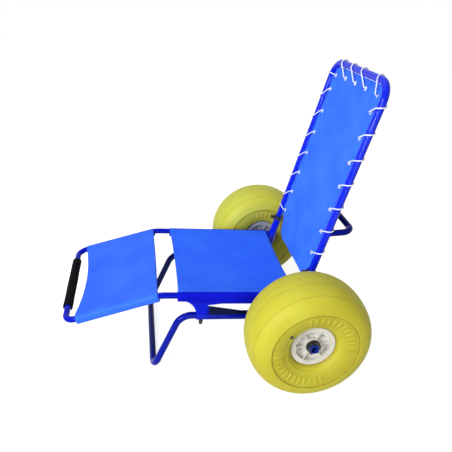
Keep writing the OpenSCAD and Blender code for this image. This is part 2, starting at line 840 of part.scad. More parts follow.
// One loop: round the tube, along the front into the eyelet, and behind to the next turn
function loop(k) = concat(
    wrap(k),
    between(wrap_at(k, wrap_front_angle), front_bend(k)[0], strand_steps),
    front_bend(k),
    k == last_station ? [bearing_at(k) + [0, 0, back_sling_set - cord_run - cord_d]] : concat(
        back_bend_out(k),
        between(back_bend_out(k)[bend_steps], wrap_at(k + 1, -wrap_back_angle), strand_steps - 1)
    )
);

// The cord's start runs straight behind the tube for the length of its knot
cord_meet = wrap_at(0, -wrap_back_angle);
cord_start = cord_meet - knot_d * unit(wrap_at(0, 1 - wrap_back_angle) - cord_meet);
cord_points = concat([cord_start], [for (k = [0:last_station]) each loop(k)]);

// Sweep of a round cord along points, with its sides carried along without twist
function tangents(p) = [for (i = [0:len(p) - 1]) unit(p[min(i + 1, len(p) - 1)] - p[max(i - 1, 0)])];
function carried(t) = [for (i = 0, side = flat([0, 0, 1], t[0]); i < len(t);
    i = i + 1, side = i < len(t) ? flat(side, t[i]) : side) side];

module swept(points, r, sides) {
    t = tangents(points);
    u = carried(t);
    n = len(points);
    rings = [for (i = [0:n - 1]) for (j = [0:sides - 1])
        points[i] + r * (cos(360 * j / sides) * u[i] + sin(360 * j / sides) * cross(t[i], u[i]))];
    walls = [for (i = [0:n - 2]) for (j = [0:sides - 1]) for (half = [0, 1])
        let (a = i * sides + j, b = i * sides + (j + 1) % sides)
        half == 0 ? [a, b + sides, b] : [a, a + sides, b + sides]];
    start_cap = [for (j = [1:sides - 2]) [0, j, j + 1]];
    end_cap = [for (j = [1:sides - 2]) [(n - 1) * sides, (n - 1) * sides + j + 1, (n - 1) * sides + j]];
    polyhedron(points = rings, faces = concat(start_cap, walls, end_cap));
}

// Least gap of the cord to itself, between points that are further apart along it than a bend
loop_points = len(loop(0));
cord_gap = min([for (i = [0:len(cord_points) - 1])
    for (j = [i + wrap_steps:min(i + 2 * loop_points, len(cord_points) - 1)])
        norm(cord_points[i] - cord_points[j])]) - cord_d;
echo("Least gap of the lacing cord to itself, mm", cord_gap);

module lacing_cord() {
    color("white") in_back() swept(cord_points, cord_d / 2, cord_sides);
}

// Stopper knots at the cord's ends: one behind the tube, one behind the last eyelet
module cord_knots() {
    ends = [
        [cord_points[0], cord_points[0] - cord_points[1]],
        [cord_points[len(cord_points) - 1], [0, 0, -1]]
    ];
    color("white") in_back() for (end = ends) along(end[0], unit(end[1])) intersection() {
        translate([0, 0, knot_d / 2 - cord_d / 4]) sphere(d = knot_d);
        cylinder(h = knot_d, r = knot_d);
    }
}

// Wheels, drawn about the axle with local Z outwards
module at_wheel(side) {
    placed() sided(side) along(axle_point + mid_x(track / 2), across) children();
}

// Half of the tyre's section: radius and offset at an angle from its widest circle
function power(x, n) = pow(max(x, 0), n);
function tyre_point(angle, inset) =
    let (
        height = angle < 0 ? side_depth - inset : axle_z - tyre_mid_r - inset,
        n = angle < 0 ? side_power : crown_power,
        up = sin(angle)
    )
    [tyre_mid_r + height * up, (tyre_half - inset) * pow(1 - power(abs(up), n), 1 / n)];

// Angle at which the section meets a radius below its widest circle
function side_angle(r, inset) = asin((r - tyre_mid_r) / (side_depth - inset));

function tyre_side(inset, start) = concat(
    [for (i = [0:section_steps]) tyre_point(start * (1 - i / section_steps), inset)],
    [for (i = [1:section_steps]) tyre_point(90 * i / section_steps, inset)]
);

module tyre_section() {
    seat_r = barrel_r + seat_fit;
    rim_r = hub_d / 2;
    bead_x = hub_face - rim_t - seat_fit;
    outer = tyre_side(0, side_angle(rim_r + pass_gap, 0));
    inner = tyre_side(tyre_wall, side_angle(rim_r + tyre_wall, tyre_wall));
    turned = [for (i = [len(inner) - 1:-1:0]) inner[i]];
    polygon(concat(
        [[seat_r, bead_gap_half], [seat_r, bead_x], [rim_r + pass_gap, bead_x]],
        outer, turned, [[seat_r + tyre_wall, bead_gap_half]]
    ));
}

module tyre(side) {
    color("#d3d246") at_wheel(side) {
        for (half = [0, 1]) mirror([0, 0, half]) rotate_extrude($fn = 144) tyre_section();
    }
}

// One moulded half of a hub: rim flange, barrel, web, ribs, boss and bolt pillars
module hub_half() {
    difference() {
        union() {
            rotate_extrude() {
                translate([barrel_r - hub_wall, hub_face - rim_t]) square([rim_lip + hub_wall, rim_t]);
                translate([barrel_r - hub_wall, 0]) square([hub_wall, hub_face]);
                translate([bush_d / 2 + seat_fit, web_face - web_t])
                    square([barrel_r - bush_d / 2 - hub_wall / 2, web_t]);
                translate([bush_d / 2 + seat_fit, 0]) square([(boss_d - bush_d) / 2 - seat_fit, boss_end]);
            }
            for (k = [0:hub_ribs - 1]) rotate(360 * k / hub_ribs)
                translate([boss_d / 2 - hub_wall / 2, -hub_wall / 2, web_face - web_t / 2])
                    cube([barrel_r - boss_d / 2, hub_wall, hub_dish - rib_drop + web_t / 2]);
            at_bolts() cylinder(h = web_face - web_t / 2, r = bolt_d / 2 + pillar_wall);
        }
        at_bolts() translate([0, 0, -over]) cylinder(h = web_face + 2 * over, r = bolt_d / 2 + seat_fit);
    }
}

module at_bolts() {
    for (k = [0:hub_ribs - 1]) rotate(360 * (k + 1 / 2) / hub_ribs) translate([bolt_circle_r, 0]) children();
}

module hub_outer(side) {
    color("#d6d7d2") at_wheel(side) hub_half();
}

module hub_inner(side) {
    color("#d6d7d2") at_wheel(side) mirror([0, 0, 1]) hub_half();
}

// Hub bolts from the outer web to the inner one, heads outside
module hub_bolts(side) {
    color("#8c8f94") at_wheel(side) at_bolts() {
        translate([0, 0, -web_face - bolt_head_h])
            cylinder(h = 2 * web_face + bolt_head_h + over, r = bolt_d / 2);
        translate([0, 0, web_face]) cylinder(h = bolt_head_h, d = bolt_hex / cos(30), $fn = 6);
    }
}

module hub_nuts(side) {
    color("#8c8f94") at_wheel(side) at_bolts() translate([0, 0, -web_face - bolt_head_h]) difference() {
        cylinder(h = bolt_head_h, d = bolt_hex / cos(30), $fn = 6);
        translate([0, 0, -over]) cylinder(h = bolt_head_h + 2 * over, r = bolt_d / 2 + run_gap);
    }
}

// Flanged bushes, one in each end of the boss
module wheel_bushes(side) {
    color("#26272b") at_wheel(side) for (half = [0, 1]) mirror([0, 0, half]) rotate_extrude() {
        translate([axle_d / 2 + run_gap, boss_end - bush_len])
            square([(bush_d - axle_d) / 2 - run_gap, bush_len]);
        translate([axle_d / 2 + run_gap, boss_end])
            square([(bush_d - axle_d) / 2 + bush_lip - run_gap, bush_flange]);
    }
}

// Lobed retaining nut on the axle's end
module axle_nut(side) {
    core_r = nut_d * nut_core_share / 2;
    lobe_r = nut_d / 2 - core_r + nut_h / 4;
    color("#1c1c20") at_wheel(side) translate([0, 0, bush_face + pass_gap]) difference() {
        union() {
            cylinder(h = nut_h, r = core_r);
            for (k = [0:nut_lobes - 1]) rotate(360 * k / nut_lobes)
                translate([nut_d / 2 - lobe_r, 0]) cylinder(h = nut_h, r = lobe_r);
        }
        translate([0, 0, -over]) cylinder(h = nut_h + 2 * over, r = axle_d / 2 + run_gap);
    }
}

// Valve plug in the tyre's side, in front of and above the axle at rest
module valve_plug(side) {
    angle = side_angle(valve_r, 0);
    seat = tyre_point(angle, 0);
    slope = tyre_point(angle + 1, 0) - tyre_point(angle - 1, 0);
    out = unit([-slope[1], slope[0]]);
    color("#1c1c20") at_wheel(side) rotate(valve_turn) translate([seat[0], 0, seat[1]])
        along([0, 0, 0], [out[0], 0, out[1]]) {
            translate([0, 0, pass_gap]) cylinder(h = valve_h, r = valve_d / 2);
        }
}

// Place of the valve plug round the wheel, in degrees from the rear
valve_turn = 137;

seat_frame();
front_grip();
lower_tube(1);  // lower_tube_left
lower_tube(-1);  // lower_tube_right
tube_plugs();
gusset(1);  // gusset_left
gusset(-1);  // gusset_right
upright(1);  // upright_left
upright(-1);  // upright_right
axle_tube();
axle_stops();
back_lock_collar(1);  // back_lock_collar_left
back_lock_collar(-1);  // back_lock_collar_right
leg_lock_bosses();
leg_sling();
seat_sling();
back_frame();
rear_handle();
back_sling();
grommets();
lacing_cord();
cord_knots();
front_leg();
back_lock(1);  // back_lock_left
back_lock(-1);  // back_lock_right
leg_lock(1);  // leg_lock_left
leg_lock(-1);  // leg_lock_right
tyre(1);  // tyre_left
tyre(-1);  // tyre_right
hub_outer(1);  // hub_outer_left
hub_outer(-1);  // hub_outer_right
hub_inner(1);  // hub_inner_left
hub_inner(-1);  // hub_inner_right
hub_bolts(1);  // hub_bolts_left
hub_bolts(-1);  // hub_bolts_right
hub_nuts(1);  // hub_nuts_left
hub_nuts(-1);  // hub_nuts_right
wheel_bushes(1);  // wheel_bushes_left
wheel_bushes(-1);  // wheel_bushes_right
valve_plug(1);  // valve_plug_left
valve_plug(-1);  // valve_plug_right
axle_nut(1);  // axle_nut_left
axle_nut(-1);  // axle_nut_right
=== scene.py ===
"""Looks of a beach wheelchair, built round its packed tube chassis.

The chair faces -Y, +X is the sitter's left and +Z is up. Lengths are metres.
"""

import logging
import math
from collections.abc import Callable, Iterable, Sequence
from dataclasses import dataclass, field, replace
from enum import Enum
from typing import Any

import bmesh
import bpy
from bpy.types import Material, Node, NodeSocket, NodeTree, Object
from mathutils import Matrix, Vector, noise


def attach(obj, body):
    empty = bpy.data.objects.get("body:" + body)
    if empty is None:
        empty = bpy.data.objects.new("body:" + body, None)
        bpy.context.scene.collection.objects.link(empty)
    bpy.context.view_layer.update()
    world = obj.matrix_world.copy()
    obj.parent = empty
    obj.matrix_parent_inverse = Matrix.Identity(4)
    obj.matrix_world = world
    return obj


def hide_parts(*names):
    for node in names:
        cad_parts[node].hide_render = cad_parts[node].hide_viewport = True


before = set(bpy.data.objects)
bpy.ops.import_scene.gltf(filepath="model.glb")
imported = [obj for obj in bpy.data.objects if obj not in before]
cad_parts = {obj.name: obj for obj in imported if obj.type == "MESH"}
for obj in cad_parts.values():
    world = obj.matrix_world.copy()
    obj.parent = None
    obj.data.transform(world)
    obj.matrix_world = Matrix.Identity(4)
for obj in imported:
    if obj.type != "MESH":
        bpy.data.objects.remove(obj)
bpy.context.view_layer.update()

LOG = logging.getLogger("beach_wheelchair")

Triple = tuple[float, float, float]
Pair = tuple[float, float]
Colour = tuple[int, int, int]
Shade = tuple[float, float, float, float]


class Side(Enum):
    """The sitter's side that a piece stands on, as a factor on X."""

    LEFT = 1
    RIGHT = -1

    @property
    def word(self) -> str:
        """The side's word in node and body names."""
        return self.name.lower()

    def place(self, point: Triple) -> Triple:
        """Moves a point of the left side to this side."""
        return self.value * point[0], point[1], point[2]


class Slot(Enum):
    """Finish slots of the record."""

    PAINT = "frame_paint"
    CANVAS = "canvas"
    FOAM = "foam"
    BLACK = "black_plastic"
    ZINC = "zinc_steel"
    EYELET = "eyelet_metal"
    CORD = "cord"
    TYRE = "balloon_tyre"
    HUB = "hub_plastic"


def smooth(low: float, high: float, value: float) -> float:
    """Eases a value from 0 at low to 1 at high.

    Args:
        low: where the ease starts.
        high: where it ends.
        value: the place to ease.

    Returns:
        The eased share.
    """
    share = min(max((value - low) / (high - low), 0.0), 1.0)
    return share * share * (3 - 2 * share)


def hump(away: float, width: float, power: int = 2) -> float:
    """Fades a share with distance, in the shape of a bell.

    Args:
        away: distance from the middle.
        width: distance at which about a third is left.
        power: how flat the top is.

    Returns:
        The share, 1 in the middle.
    """
    return math.exp(-((away / width) ** power))


def rounding(past: float, radius: float) -> float:
    """Finds what a round corner takes off a width.

    Args:
        past: how far past the start of the corner.
        radius: the corner's radius.

    Returns:
        The width that is lost.
    """
    return radius - math.sqrt(max(radius * radius - past * past, 0.0)) if past > 0 else 0.0


def spaced(start: float, end: float, count: int) -> list[float]:
    """Spreads values evenly, ends included.

    Args:
        start: first value.
        end: last value.
        count: number of steps.

    Returns:
        count + 1 values.
    """
    return [start + (end - start) * i / count for i in range(count + 1)]


def linear(colour: Colour) -> Shade:
    """Turns a screen colour into a shader colour.

    Args:
        colour: red, green and blue out of 255.

    Returns:
        The linear colour with full alpha.
    """
    shares = (value / 255 for value in colour)
    red, green, blue = (s / 12.92 if s <= 0.04045 else ((s + 0.055) / 1.055) ** 2.4 for s in shares)
    return red, green, blue, 1.0


@dataclass(frozen=True)
class Place:
    """A place on the chair with its own directions."""

    origin: Triple
    across: Triple
    along: Triple
    up: Triple

    def at(self, x: float, y: float, z: float = 0.0) -> Vector:
        """Finds the point of the part's frame that is given in the place's own directions."""
        return Vector(self.origin) + x * Vector(self.across) + y * Vector(self.along) + z * Vector(self.up)

    def turn(self) -> Matrix:
        """The place's directions as a turn."""
        return Matrix((self.across, self.along, self.up)).transposed()


SEAT = Place((0, -0.159114, 0.328170), (1, 0, 0), (0, 0.987688, -0.156434), (0, 0.156434, 0.987688))
LEG_REST = Place((0, -0.504499, 0.289671), (1, 0, 0), (0, 0.986640, 0.162916), (0, -0.162916, 0.986640))
BACK = Place((0, 0.262161, 0.205554), (1, 0, 0), (0, 0.342020, 0.939693), (0, -0.939693, 0.342020))
AXLE: Triple = (0, 0.249945, 0.210)
FORWARD_UP: Triple = (0, -0.987688, 0.156434)
RAIL_DOWN: Triple = (0, -0.156434, -0.987688)
LEAN_UP: Triple = (0, 0.342020, 0.939693)
HANDLE_BACK: Triple = (0, 0.998630, -0.052336)

CLOTH_THICKNESS = 0.0016
LAYER_GAP = 0.0019
STITCH_PITCH = 0.0042
STITCH_SIZE: Triple = (0.0016, 0.00045, 0.00035)
STITCH_LIFT = CLOTH_THICKNESS / 2 + 0.0001
CORD_SIDES = 18
X_TO_Z = Matrix(((0, 1, 0, 0), (0, 0, 1, 0), (1, 0, 0, 0), (0, 0, 0, 1)))
WELD_DISTANCE = 2e-6
FLAT_ANGLE = math.radians(0.4)
CREASE_ANGLE = math.radians(32.0)


class NodeBuilder:
    """Adds nodes to a tree and wires them by the names of their inputs."""

    def __init__(self, tree: NodeTree) -> None:
        """Takes the tree to fill."""
        self.tree = tree

    def node(self, kind: str, inputs: dict[Any, Any] | None = None, **settings: Any) -> Node:
        """Adds one node.

        Args:
            kind: the node's type name.
            inputs: sockets or plain values, by input name or number.
            settings: properties of the node.

        Returns:
            The node.
        """
        made = self.tree.nodes.new(kind)
        for key, value in settings.items():
            setattr(made, key, value)
        for key, value in (inputs or {}).items():
            if isinstance(value, NodeSocket):
                self.tree.links.new(value, made.inputs[key])
            else:
                made.inputs[key].default_value = value
        return made

    def out(self, kind: str, inputs: dict[Any, Any] | None = None, **settings: Any) -> NodeSocket:
        """Adds one node, as node does, and gives its first output."""
        return self.node(kind, inputs, **settings).outputs[0]

    def maths(self, operation: str, first: Any, second: Any = 0.0) -> NodeSocket:
        """Adds a Math node with one or two sockets or values and gives its result."""
        return self.out("ShaderNodeMath", {0: first, 1: second}, operation=operation)

    def backdrop_rays(self) -> NodeSocket:
        """Finds the rays that see the white background: camera, glossy and transmission rays.

        Returns:
            1 for such a ray and 0 for any other.
        """
        rays = self.node("ShaderNodeLightPath").outputs
        direct = self.maths("MAXIMUM", rays["Is Camera Ray"], rays["Is Glossy Ray"])
        return self.maths("MAXIMUM", direct, rays["Is Transmission Ray"])


class GeometryTree(NodeBuilder):
    """A Geometry Nodes tree with named inputs that ends in one geometry."""

    def __init__(self, name: str) -> None:
        """Starts a tree with a geometry input and output.

        Args:
            name: the tree's name.
        """
        super().__init__(bpy.data.node_groups.new(name, "GeometryNodeTree"))
        for way in ("INPUT", "OUTPUT"):
            self.tree.interface.new_socket("Geometry", in_out=way, socket_type="NodeSocketGeometry")
        self.start = self.tree.nodes.new("NodeGroupInput")
        self.end = self.tree.nodes.new("NodeGroupOutput")

    def entry(self, name: str, kind: str) -> NodeSocket:
        """Adds a named input of a kind such as Float or Object and gives the socket to wire from."""
        self.tree.interface.new_socket(name, in_out="INPUT", socket_type="NodeSocket" + kind)
        return self.start.outputs[name]

    def even_path(self, spacing: NodeSocket) -> NodeSocket:
        """Turns the input's edges into paths of points at an even spacing."""
        curve = self.out("GeometryNodeMeshToCurve", {"Mesh": self.start.outputs[0]})
        return self.out("GeometryNodeResampleCurve", {"Curve": curve, "Length": spacing}, mode="LENGTH")

    def placed(self, points: NodeSocket, item: NodeSocket, turn: NodeSocket) -> NodeSocket:
        """Sets an item on each point, turned as asked."""
        parts = {"Points": points, "Instance": item, "Rotation": turn}
        return self.out("GeometryNodeInstanceOnPoints", parts)

    def close(self, geometry: NodeSocket) -> NodeTree:
        """Ends the tree with realized, smooth, finished geometry.

        Args:
            geometry: what the tree made.

        Returns:
            The finished tree.
        """
        whole = self.out("GeometryNodeRealizeInstances", {"Geometry": geometry})
        soft = self.out("GeometryNodeSetShadeSmooth", {"Geometry": whole})
        finish = self.entry("Finish", "Material")
        done = self.out("GeometryNodeSetMaterial", {"Geometry": soft, "Material": finish})
        self.tree.links.new(done, self.end.inputs[0])
        return self.tree


def sweep_tree() -> NodeTree:
    """Builds the tree that sweeps a lobed, twisted and rippled cord along a path.

    Returns:
        The tree.
    """
    made = GeometryTree("Swept path")
    radius, lobes, lobe_depth, twist, spacing, ripple, ripple_pitch = (
        made.entry(name, "Float")
        for name in ("Radius", "Lobes", "Lobe depth", "Twist", "Spacing", "Ripple", "Ripple pitch")
    )
    even = made.even_path(spacing)
    way = made.node("GeometryNodeSplineParameter").outputs["Length"]
    tilted = made.out("GeometryNodeSetCurveTilt", {"Curve": even, "Tilt": made.maths("MULTIPLY", way, twist)})
    wave = made.maths("SINE", made.maths("DIVIDE", made.maths("MULTIPLY", way, math.tau), ripple_pitch))
    swell = made.maths("ADD", made.maths("MULTIPLY", wave, ripple), 1.0)
    swelled = made.out("GeometryNodeSetCurveRadius", {"Curve": tilted, "Radius": swell})
    ring = made.out("GeometryNodeCurvePrimitiveCircle", {"Resolution": CORD_SIDES, "Radius": radius})
    turn = made.maths("MULTIPLY", made.node("GeometryNodeSplineParameter").outputs["Factor"], math.tau)
    lobe = made.maths("COSINE", made.maths("MULTIPLY", turn, lobes))
    bulge = made.maths("ADD", made.maths("MULTIPLY", lobe, lobe_depth), 1.0)
    place = made.out("GeometryNodeInputPosition")
    pushed = made.out("ShaderNodeVectorMath", {0: place, "Scale": bulge}, operation="SCALE")
    shaped = made.out("GeometryNodeSetPosition", {"Geometry": ring, "Position": pushed})
    parts = {"Curve": swelled, "Profile Curve": shaped, "Fill Caps": True}
    return made.close(made.out("GeometryNodeCurveToMesh", parts))


def stitch_tree() -> NodeTree:
    """Builds the tree that sets thread stitches along a seam.

    Returns:
        The tree.
    """
    made = GeometryTree("Stitch row")
    pitch = made.entry("Pitch", "Float")
    size = made.entry("Size", "Vector")
    even = made.even_path(pitch)
    tangent = made.out("GeometryNodeInputTangent")
    turn = made.out("FunctionNodeAlignRotationToVector", {"Vector": tangent}, axis="X")
    ball = made.out("GeometryNodeMeshUVSphere", {"Segments": 6, "Rings": 4, "Radius": 1.0})
    thread = made.out("GeometryNodeTransform", {"Geometry": ball, "Scale": size})
    return made.close(made.placed(even, thread, turn))


def ring_tree() -> NodeTree:
    """Builds the tree that repeats one item round an axis along X.

    Returns:
        The tree.
    """
    made = GeometryTree("Ring of items")
    count = made.entry("Count", "Int")
    first = made.entry("First angle", "Float")
    step = made.entry("Step angle", "Float")
    centre = made.entry("Centre", "Vector")
    points = made.out("GeometryNodePoints", {"Count": count})
    angle = made.maths("ADD", made.maths("MULTIPLY", made.out("GeometryNodeInputIndex"), step), first)
    turn = made.out("FunctionNodeAxisAngleToRotation", {"Axis": (1, 0, 0), "Angle": angle})
    ring = made.placed(points, made.start.outputs[0], turn)
    return made.close(made.out("GeometryNodeTransform", {"Geometry": ring, "Translation": centre}))


def spots_tree() -> NodeTree:
    """Builds the tree that sets one item on each point, all turned alike.

    Returns:
        The tree.
    """
    made = GeometryTree("Items on points")
    item = made.entry("Item", "Object")
    turn = made.entry("Turn", "Rotation")
    shape = made.node("GeometryNodeObjectInfo", {"Object": item}).outputs["Geometry"]
    return made.close(made.placed(made.start.outputs[0], shape, turn))


def linked(name: str, data: bpy.types.ID) -> Object:
    """Makes an object from its data and links it to the scene.

    Args:
        name: the object's name.
        data: a mesh, a camera or a light.

    Returns:
        The object.
    """
    made = bpy.data.objects.new(name, data)
    bpy.context.scene.collection.objects.link(made)
    return made


def mesh_object(name: str, points: Iterable[Sequence[float]], faces: Iterable[Sequence[int]],
                edges: Iterable[Sequence[int]] = ()) -> Object:
    """Makes an object from points and faces.

    Args:
        name: the object's name.
        points: vertex places.
        faces: vertex numbers of each face.
        edges: vertex numbers of loose edges.

    Returns:
        The linked object.
    """
    mesh = bpy.data.meshes.new(name)
    mesh.from_pydata([tuple(p) for p in points], list(edges), list(faces))
    mesh.shade_smooth()
    return linked(name, mesh)


def path_object(name: str, runs: Iterable[Sequence[Vector]], closed: bool = False) -> Object:
    """Makes an object of loose edges that follow paths.

    Args:
        name: the object's name.
        runs: the points of each path.
        closed: joins each path's end to its start.

    Returns:
        The linked object.
    """
    points: list[Vector] = []
    edges: list[tuple[int, int]] = []
    for run in runs:
        first = len(points)
        points.extend(run)
        edges.extend((i, i + 1) for i in range(first, len(points) - 1))
        if closed:
            edges.append((len(points) - 1, first))
    return mesh_object(name, points, (), edges)


def grown(base: Object, tree: NodeTree, finish: Material, **values: Any) -> Object:
    """Runs a tree on a base object and keeps the mesh that it makes.

    Args:
        base: the object that carries the path, points or item.
        tree: the tree to run.
        finish: material of what it makes.
        values: the tree's other inputs, with _ for a space.

    Returns:
        The base object with the new mesh.
    """
    modifier = base.modifiers.new(tree.name, "NODES")
    modifier.node_group = tree
    given = {"Finish": finish} | {key.replace("_", " "): value for key, value in values.items()}
    for item in tree.interface.items_tree:
        if item.in_out == "INPUT" and item.name in given:
            modifier[item.identifier] = given[item.name]
    graph = bpy.context.evaluated_depsgraph_get()
    mesh = bpy.data.meshes.new_from_object(base.evaluated_get(graph), depsgraph=graph)
    base.modifiers.remove(modifier)
    old = base.data
    base.data = mesh
    bpy.data.meshes.remove(old)
    mesh.materials.clear()
    mesh.materials.append(finish)
    return base


def joined(pieces: Sequence[Object]) -> Object:
    """Joins objects into the first of them.

    Args:
        pieces: the objects.

    Returns:
        The first object.
    """
    whole = bmesh.new()
    for piece in pieces:
        whole.from_mesh(piece.data)
    whole.to_mesh(pieces[0].data)
    whole.free()
    for piece in pieces[1:]:
        bpy.data.objects.remove(piece)
    return pieces[0]


def outward_faces(piece: Object) -> None:
    """Turns a closed mesh's faces outwards.

    Args:
        piece: the object.
    """
    shape = bmesh.new()
    shape.from_mesh(piece.data)
    bmesh.ops.recalc_face_normals(shape, faces=shape.faces)
    shape.to_mesh(piece.data)
    shape.free()


def hold_grime_and_shade(piece: Object, shares: Sequence[float]) -> None:
    """Stores how much grime and painted shade each vertex holds.

    Args:
        piece: the object.
        shares: one share for each vertex.
    """
    held = piece.data.attributes.new("grime", "FLOAT", "POINT")
    held.data.foreach_set("value", shares)


def lathe(name: str, ring: Sequence[Pair], count: int, centre: Vector,
          ease: Callable[[float, float, float], float] | None = None) -> Object:
    """Turns a closed outline round an axis along X.

    Args:
        name: the object's name.
        ring: radius and way along X of each point.
        count: steps round the axis.
        centre: middle of the turned shape.
        ease: change of radius from radius, way and angle.

    Returns:
        The object.
    """
    points = []
    for i in range(count):
        a = math.tau * i / count
        for r, x in ring:
            radius = r + (ease(r, x, a) if ease else 0.0)
            points.append(centre + Vector((x, radius * math.cos(a), radius * math.sin(a))))
    n = len(ring)
    faces = [
        (i * n + j, i * n + (j + 1) % n, ((i + 1) % count) * n + (j + 1) % n, ((i + 1) % count) * n + j)
        for i in range(count) for j in range(n)
    ]
    made = mesh_object(name, points, faces)
    outward_faces(made)
    return made


class ShaderTree(NodeBuilder):
    """A material's tree with one Principled surface."""

    def __init__(self, name: str) -> None:
        """Starts a material.

        Args:
            name: the material's name.
        """
        self.material = bpy.data.materials.new(name)
        self.material.use_nodes = True
        super().__init__(self.material.node_tree)
        self.surface = self.tree.nodes["Principled BSDF"]
        self.coords = self.tree.nodes.new("ShaderNodeTexCoord")

    def put(self, **values: Any) -> None:
        """Sets or wires inputs of the surface.

        Args:
            values: sockets or values, with _ for a space.
        """
        for key, value in values.items():
            socket = self.surface.inputs[key.replace("_", " ")]
            if isinstance(value, NodeSocket):
                self.tree.links.new(value, socket)
            else:
                socket.default_value = value

    def noise(self, scale: float, detail: float) -> NodeSocket:
        """Adds noise over the object's own coordinates, with its scale per metre."""
        inputs = {"Vector": self.coords.outputs["Object"], "Scale": scale, "Detail": detail}
        return self.node("ShaderNodeTexNoise", inputs).outputs["Fac"]

    def ranged(self, value: NodeSocket, source: Pair, target: Pair) -> NodeSocket:
        """Maps a value from a source range to a target range."""
        ends = dict(zip(("From Min", "From Max", "To Min", "To Max"), source + target))
        return self.out("ShaderNodeMapRange", {"Value": value} | ends)

    def patches(self, scale: float, detail: float, source: Pair, target: Pair) -> NodeSocket:
        """Maps noise over the object from a source range to a target range."""
        return self.ranged(self.noise(scale, detail), source, target)

    def mixed(self, share: NodeSocket, first: Any, second: Any) -> NodeSocket:
        """Mixes two colours or sockets by the second one's share."""
        made = self.node("ShaderNodeMix", {0: share, 6: first, 7: second}, data_type="RGBA")
        return made.outputs[2]

    def bump(self, height: NodeSocket, depth: float, strength: float) -> None:
        """Bumps the surface by a height from 0 to 1 of a full depth."""
        made = self.node("ShaderNodeBump", {"Height": height, "Distance": depth, "Strength": strength})
        self.put(Normal=made.outputs[0])


@dataclass(frozen=True)
class ShadeFade:
    """A stretch of painted shade that comes in along one direction of the part."""

    way: Triple
    start: float
    end: float

    def share(self, made: ShaderTree) -> NodeSocket:
        """Wires how far the painted shade has come.

        Args:
            made: the material's tree.

        Returns:
            0 up to the start and 1 from the end.
        """
        ways = {0: made.coords.outputs["Object"], 1: self.way}
        along = made.node("ShaderNodeVectorMath", ways, operation="DOT_PRODUCT").outputs["Value"]
        return made.ranged(along, source=(self.start, self.end), target=(0.0, 1.0))


@dataclass(frozen=True)
class PaintFinish:
    """Glossy tube paint with a little orange peel, rubbed patches and, where fades are given, a stretch of
    painted shade.
    """

    name: str
    colour: Colour
    rubbed: Colour
    roughness: float
    specular: float = 0.22
    # Colour of the painted shade, used where fades are given.
    dull: Colour | None = None
    fades: tuple[ShadeFade, ...] = ()
    shine: Shade = (0.55, 0.85, 1.0, 1.0)

    def material(self) -> Material:
        """Builds the paint.

        Returns:
            The material.
        """
        made = ShaderTree(self.name)
        patches = made.patches(38.0, detail=6.0, source=(0.58, 0.72), target=(0.0, 0.6))
        colour = made.mixed(patches, linear(self.colour), linear(self.rubbed))
        # Painted shade: the paint darkens towards its darker colour where every fade has come in.
        if self.fades:
            share = 1.0
            for fade in self.fades:
                share = made.maths("MULTIPLY", share, fade.share(made))
            colour = made.mixed(share, colour, linear(self.dull))
        made.put(
            Base_Color=colour,
            Roughness=made.patches(
                55.0, detail=4.0, source=(0.35, 0.7), target=(self.roughness, self.roughness + 0.1)
            ),
            Specular_IOR_Level=self.specular,
            Specular_Tint=self.shine,
        )
        made.bump(made.noise(420.0, detail=1.0), depth=0.0002, strength=0.2)
        return made.material


@dataclass(frozen=True)
class CanvasFinish:
    """Woven coated canvas with its threads on the cloth's own coordinates."""

    name: str
    colour: Colour
    faded: Colour
    thread: float = 0.0012
    sheen: float = 0.03
    specular: float = 0.24

    def material(self) -> Material:
        """Builds the canvas.

        Returns:
            The material.
        """
        made = ShaderTree(self.name)
        cloth = made.out("ShaderNodeUVMap", uv_map="cloth")
        parts = made.node("ShaderNodeSeparateXYZ", {0: cloth})
        warp, weft = (made.maths("DIVIDE", parts.outputs[axis], self.thread) for axis in (0, 1))
        square = made.maths("ADD", made.maths("FLOOR", warp), made.maths("FLOOR", weft))
        over = made.maths("PINGPONG", square, 1.0)
        warp_high, weft_high = (
            made.maths("ABSOLUTE", made.maths("SINE", made.maths("MULTIPLY", way, math.pi)))
            for way in (warp, weft)
        )
        height = made.out("ShaderNodeMix", {0: over, 2: warp_high, 3: weft_high})
        worn = made.patches(9.0, detail=5.0, source=(0.35, 0.72), target=(0.0, 1.0))
        base = made.mixed(worn, linear(self.colour), linear(self.faded))
        # Painted shade: the weave's valleys are darker than its raised threads.
        valley = made.ranged(height, source=(0.0, 0.5), target=(0.22, 0.0))
        valley_shade = linear((self.colour[0] // 2, self.colour[1] // 2, int(self.colour[2] * 0.75)))
        made.put(
            Base_Color=made.mixed(valley, base, valley_shade),
            Roughness=made.patches(30.0, detail=4.0, source=(0.3, 0.7), target=(0.58, 0.74)),
            Specular_IOR_Level=self.specular,
            Sheen_Weight=self.sheen,
            Sheen_Roughness=0.4,
        )
        made.bump(height, depth=0.0003, strength=0.5)
        return made.material


@dataclass(frozen=True)
class FoamFinish:
    """Closed-cell foam with open pores on its cut skin."""

    name: str
    colour: Colour
    pore: float

    def material(self) -> Material:
        """Builds the foam.

        Returns:
            The material.
        """
        made = ShaderTree(self.name)
        cells = made.node(
            "ShaderNodeTexVoronoi", {"Vector": made.coords.outputs["Object"], "Scale": 1 / self.pore}
        ).outputs["Distance"]
        lighter = tuple(channel + 8 for channel in self.colour)
        dusty = made.patches(24.0, detail=5.0, source=(0.4, 0.7), target=(0.0, 0.8))
        made.put(
            Base_Color=made.mixed(dusty, linear(self.colour), linear(lighter)),
            Roughness=0.9,
            Specular_IOR_Level=0.06,
        )
        made.bump(cells, depth=0.0007, strength=0.6)
        return made.material


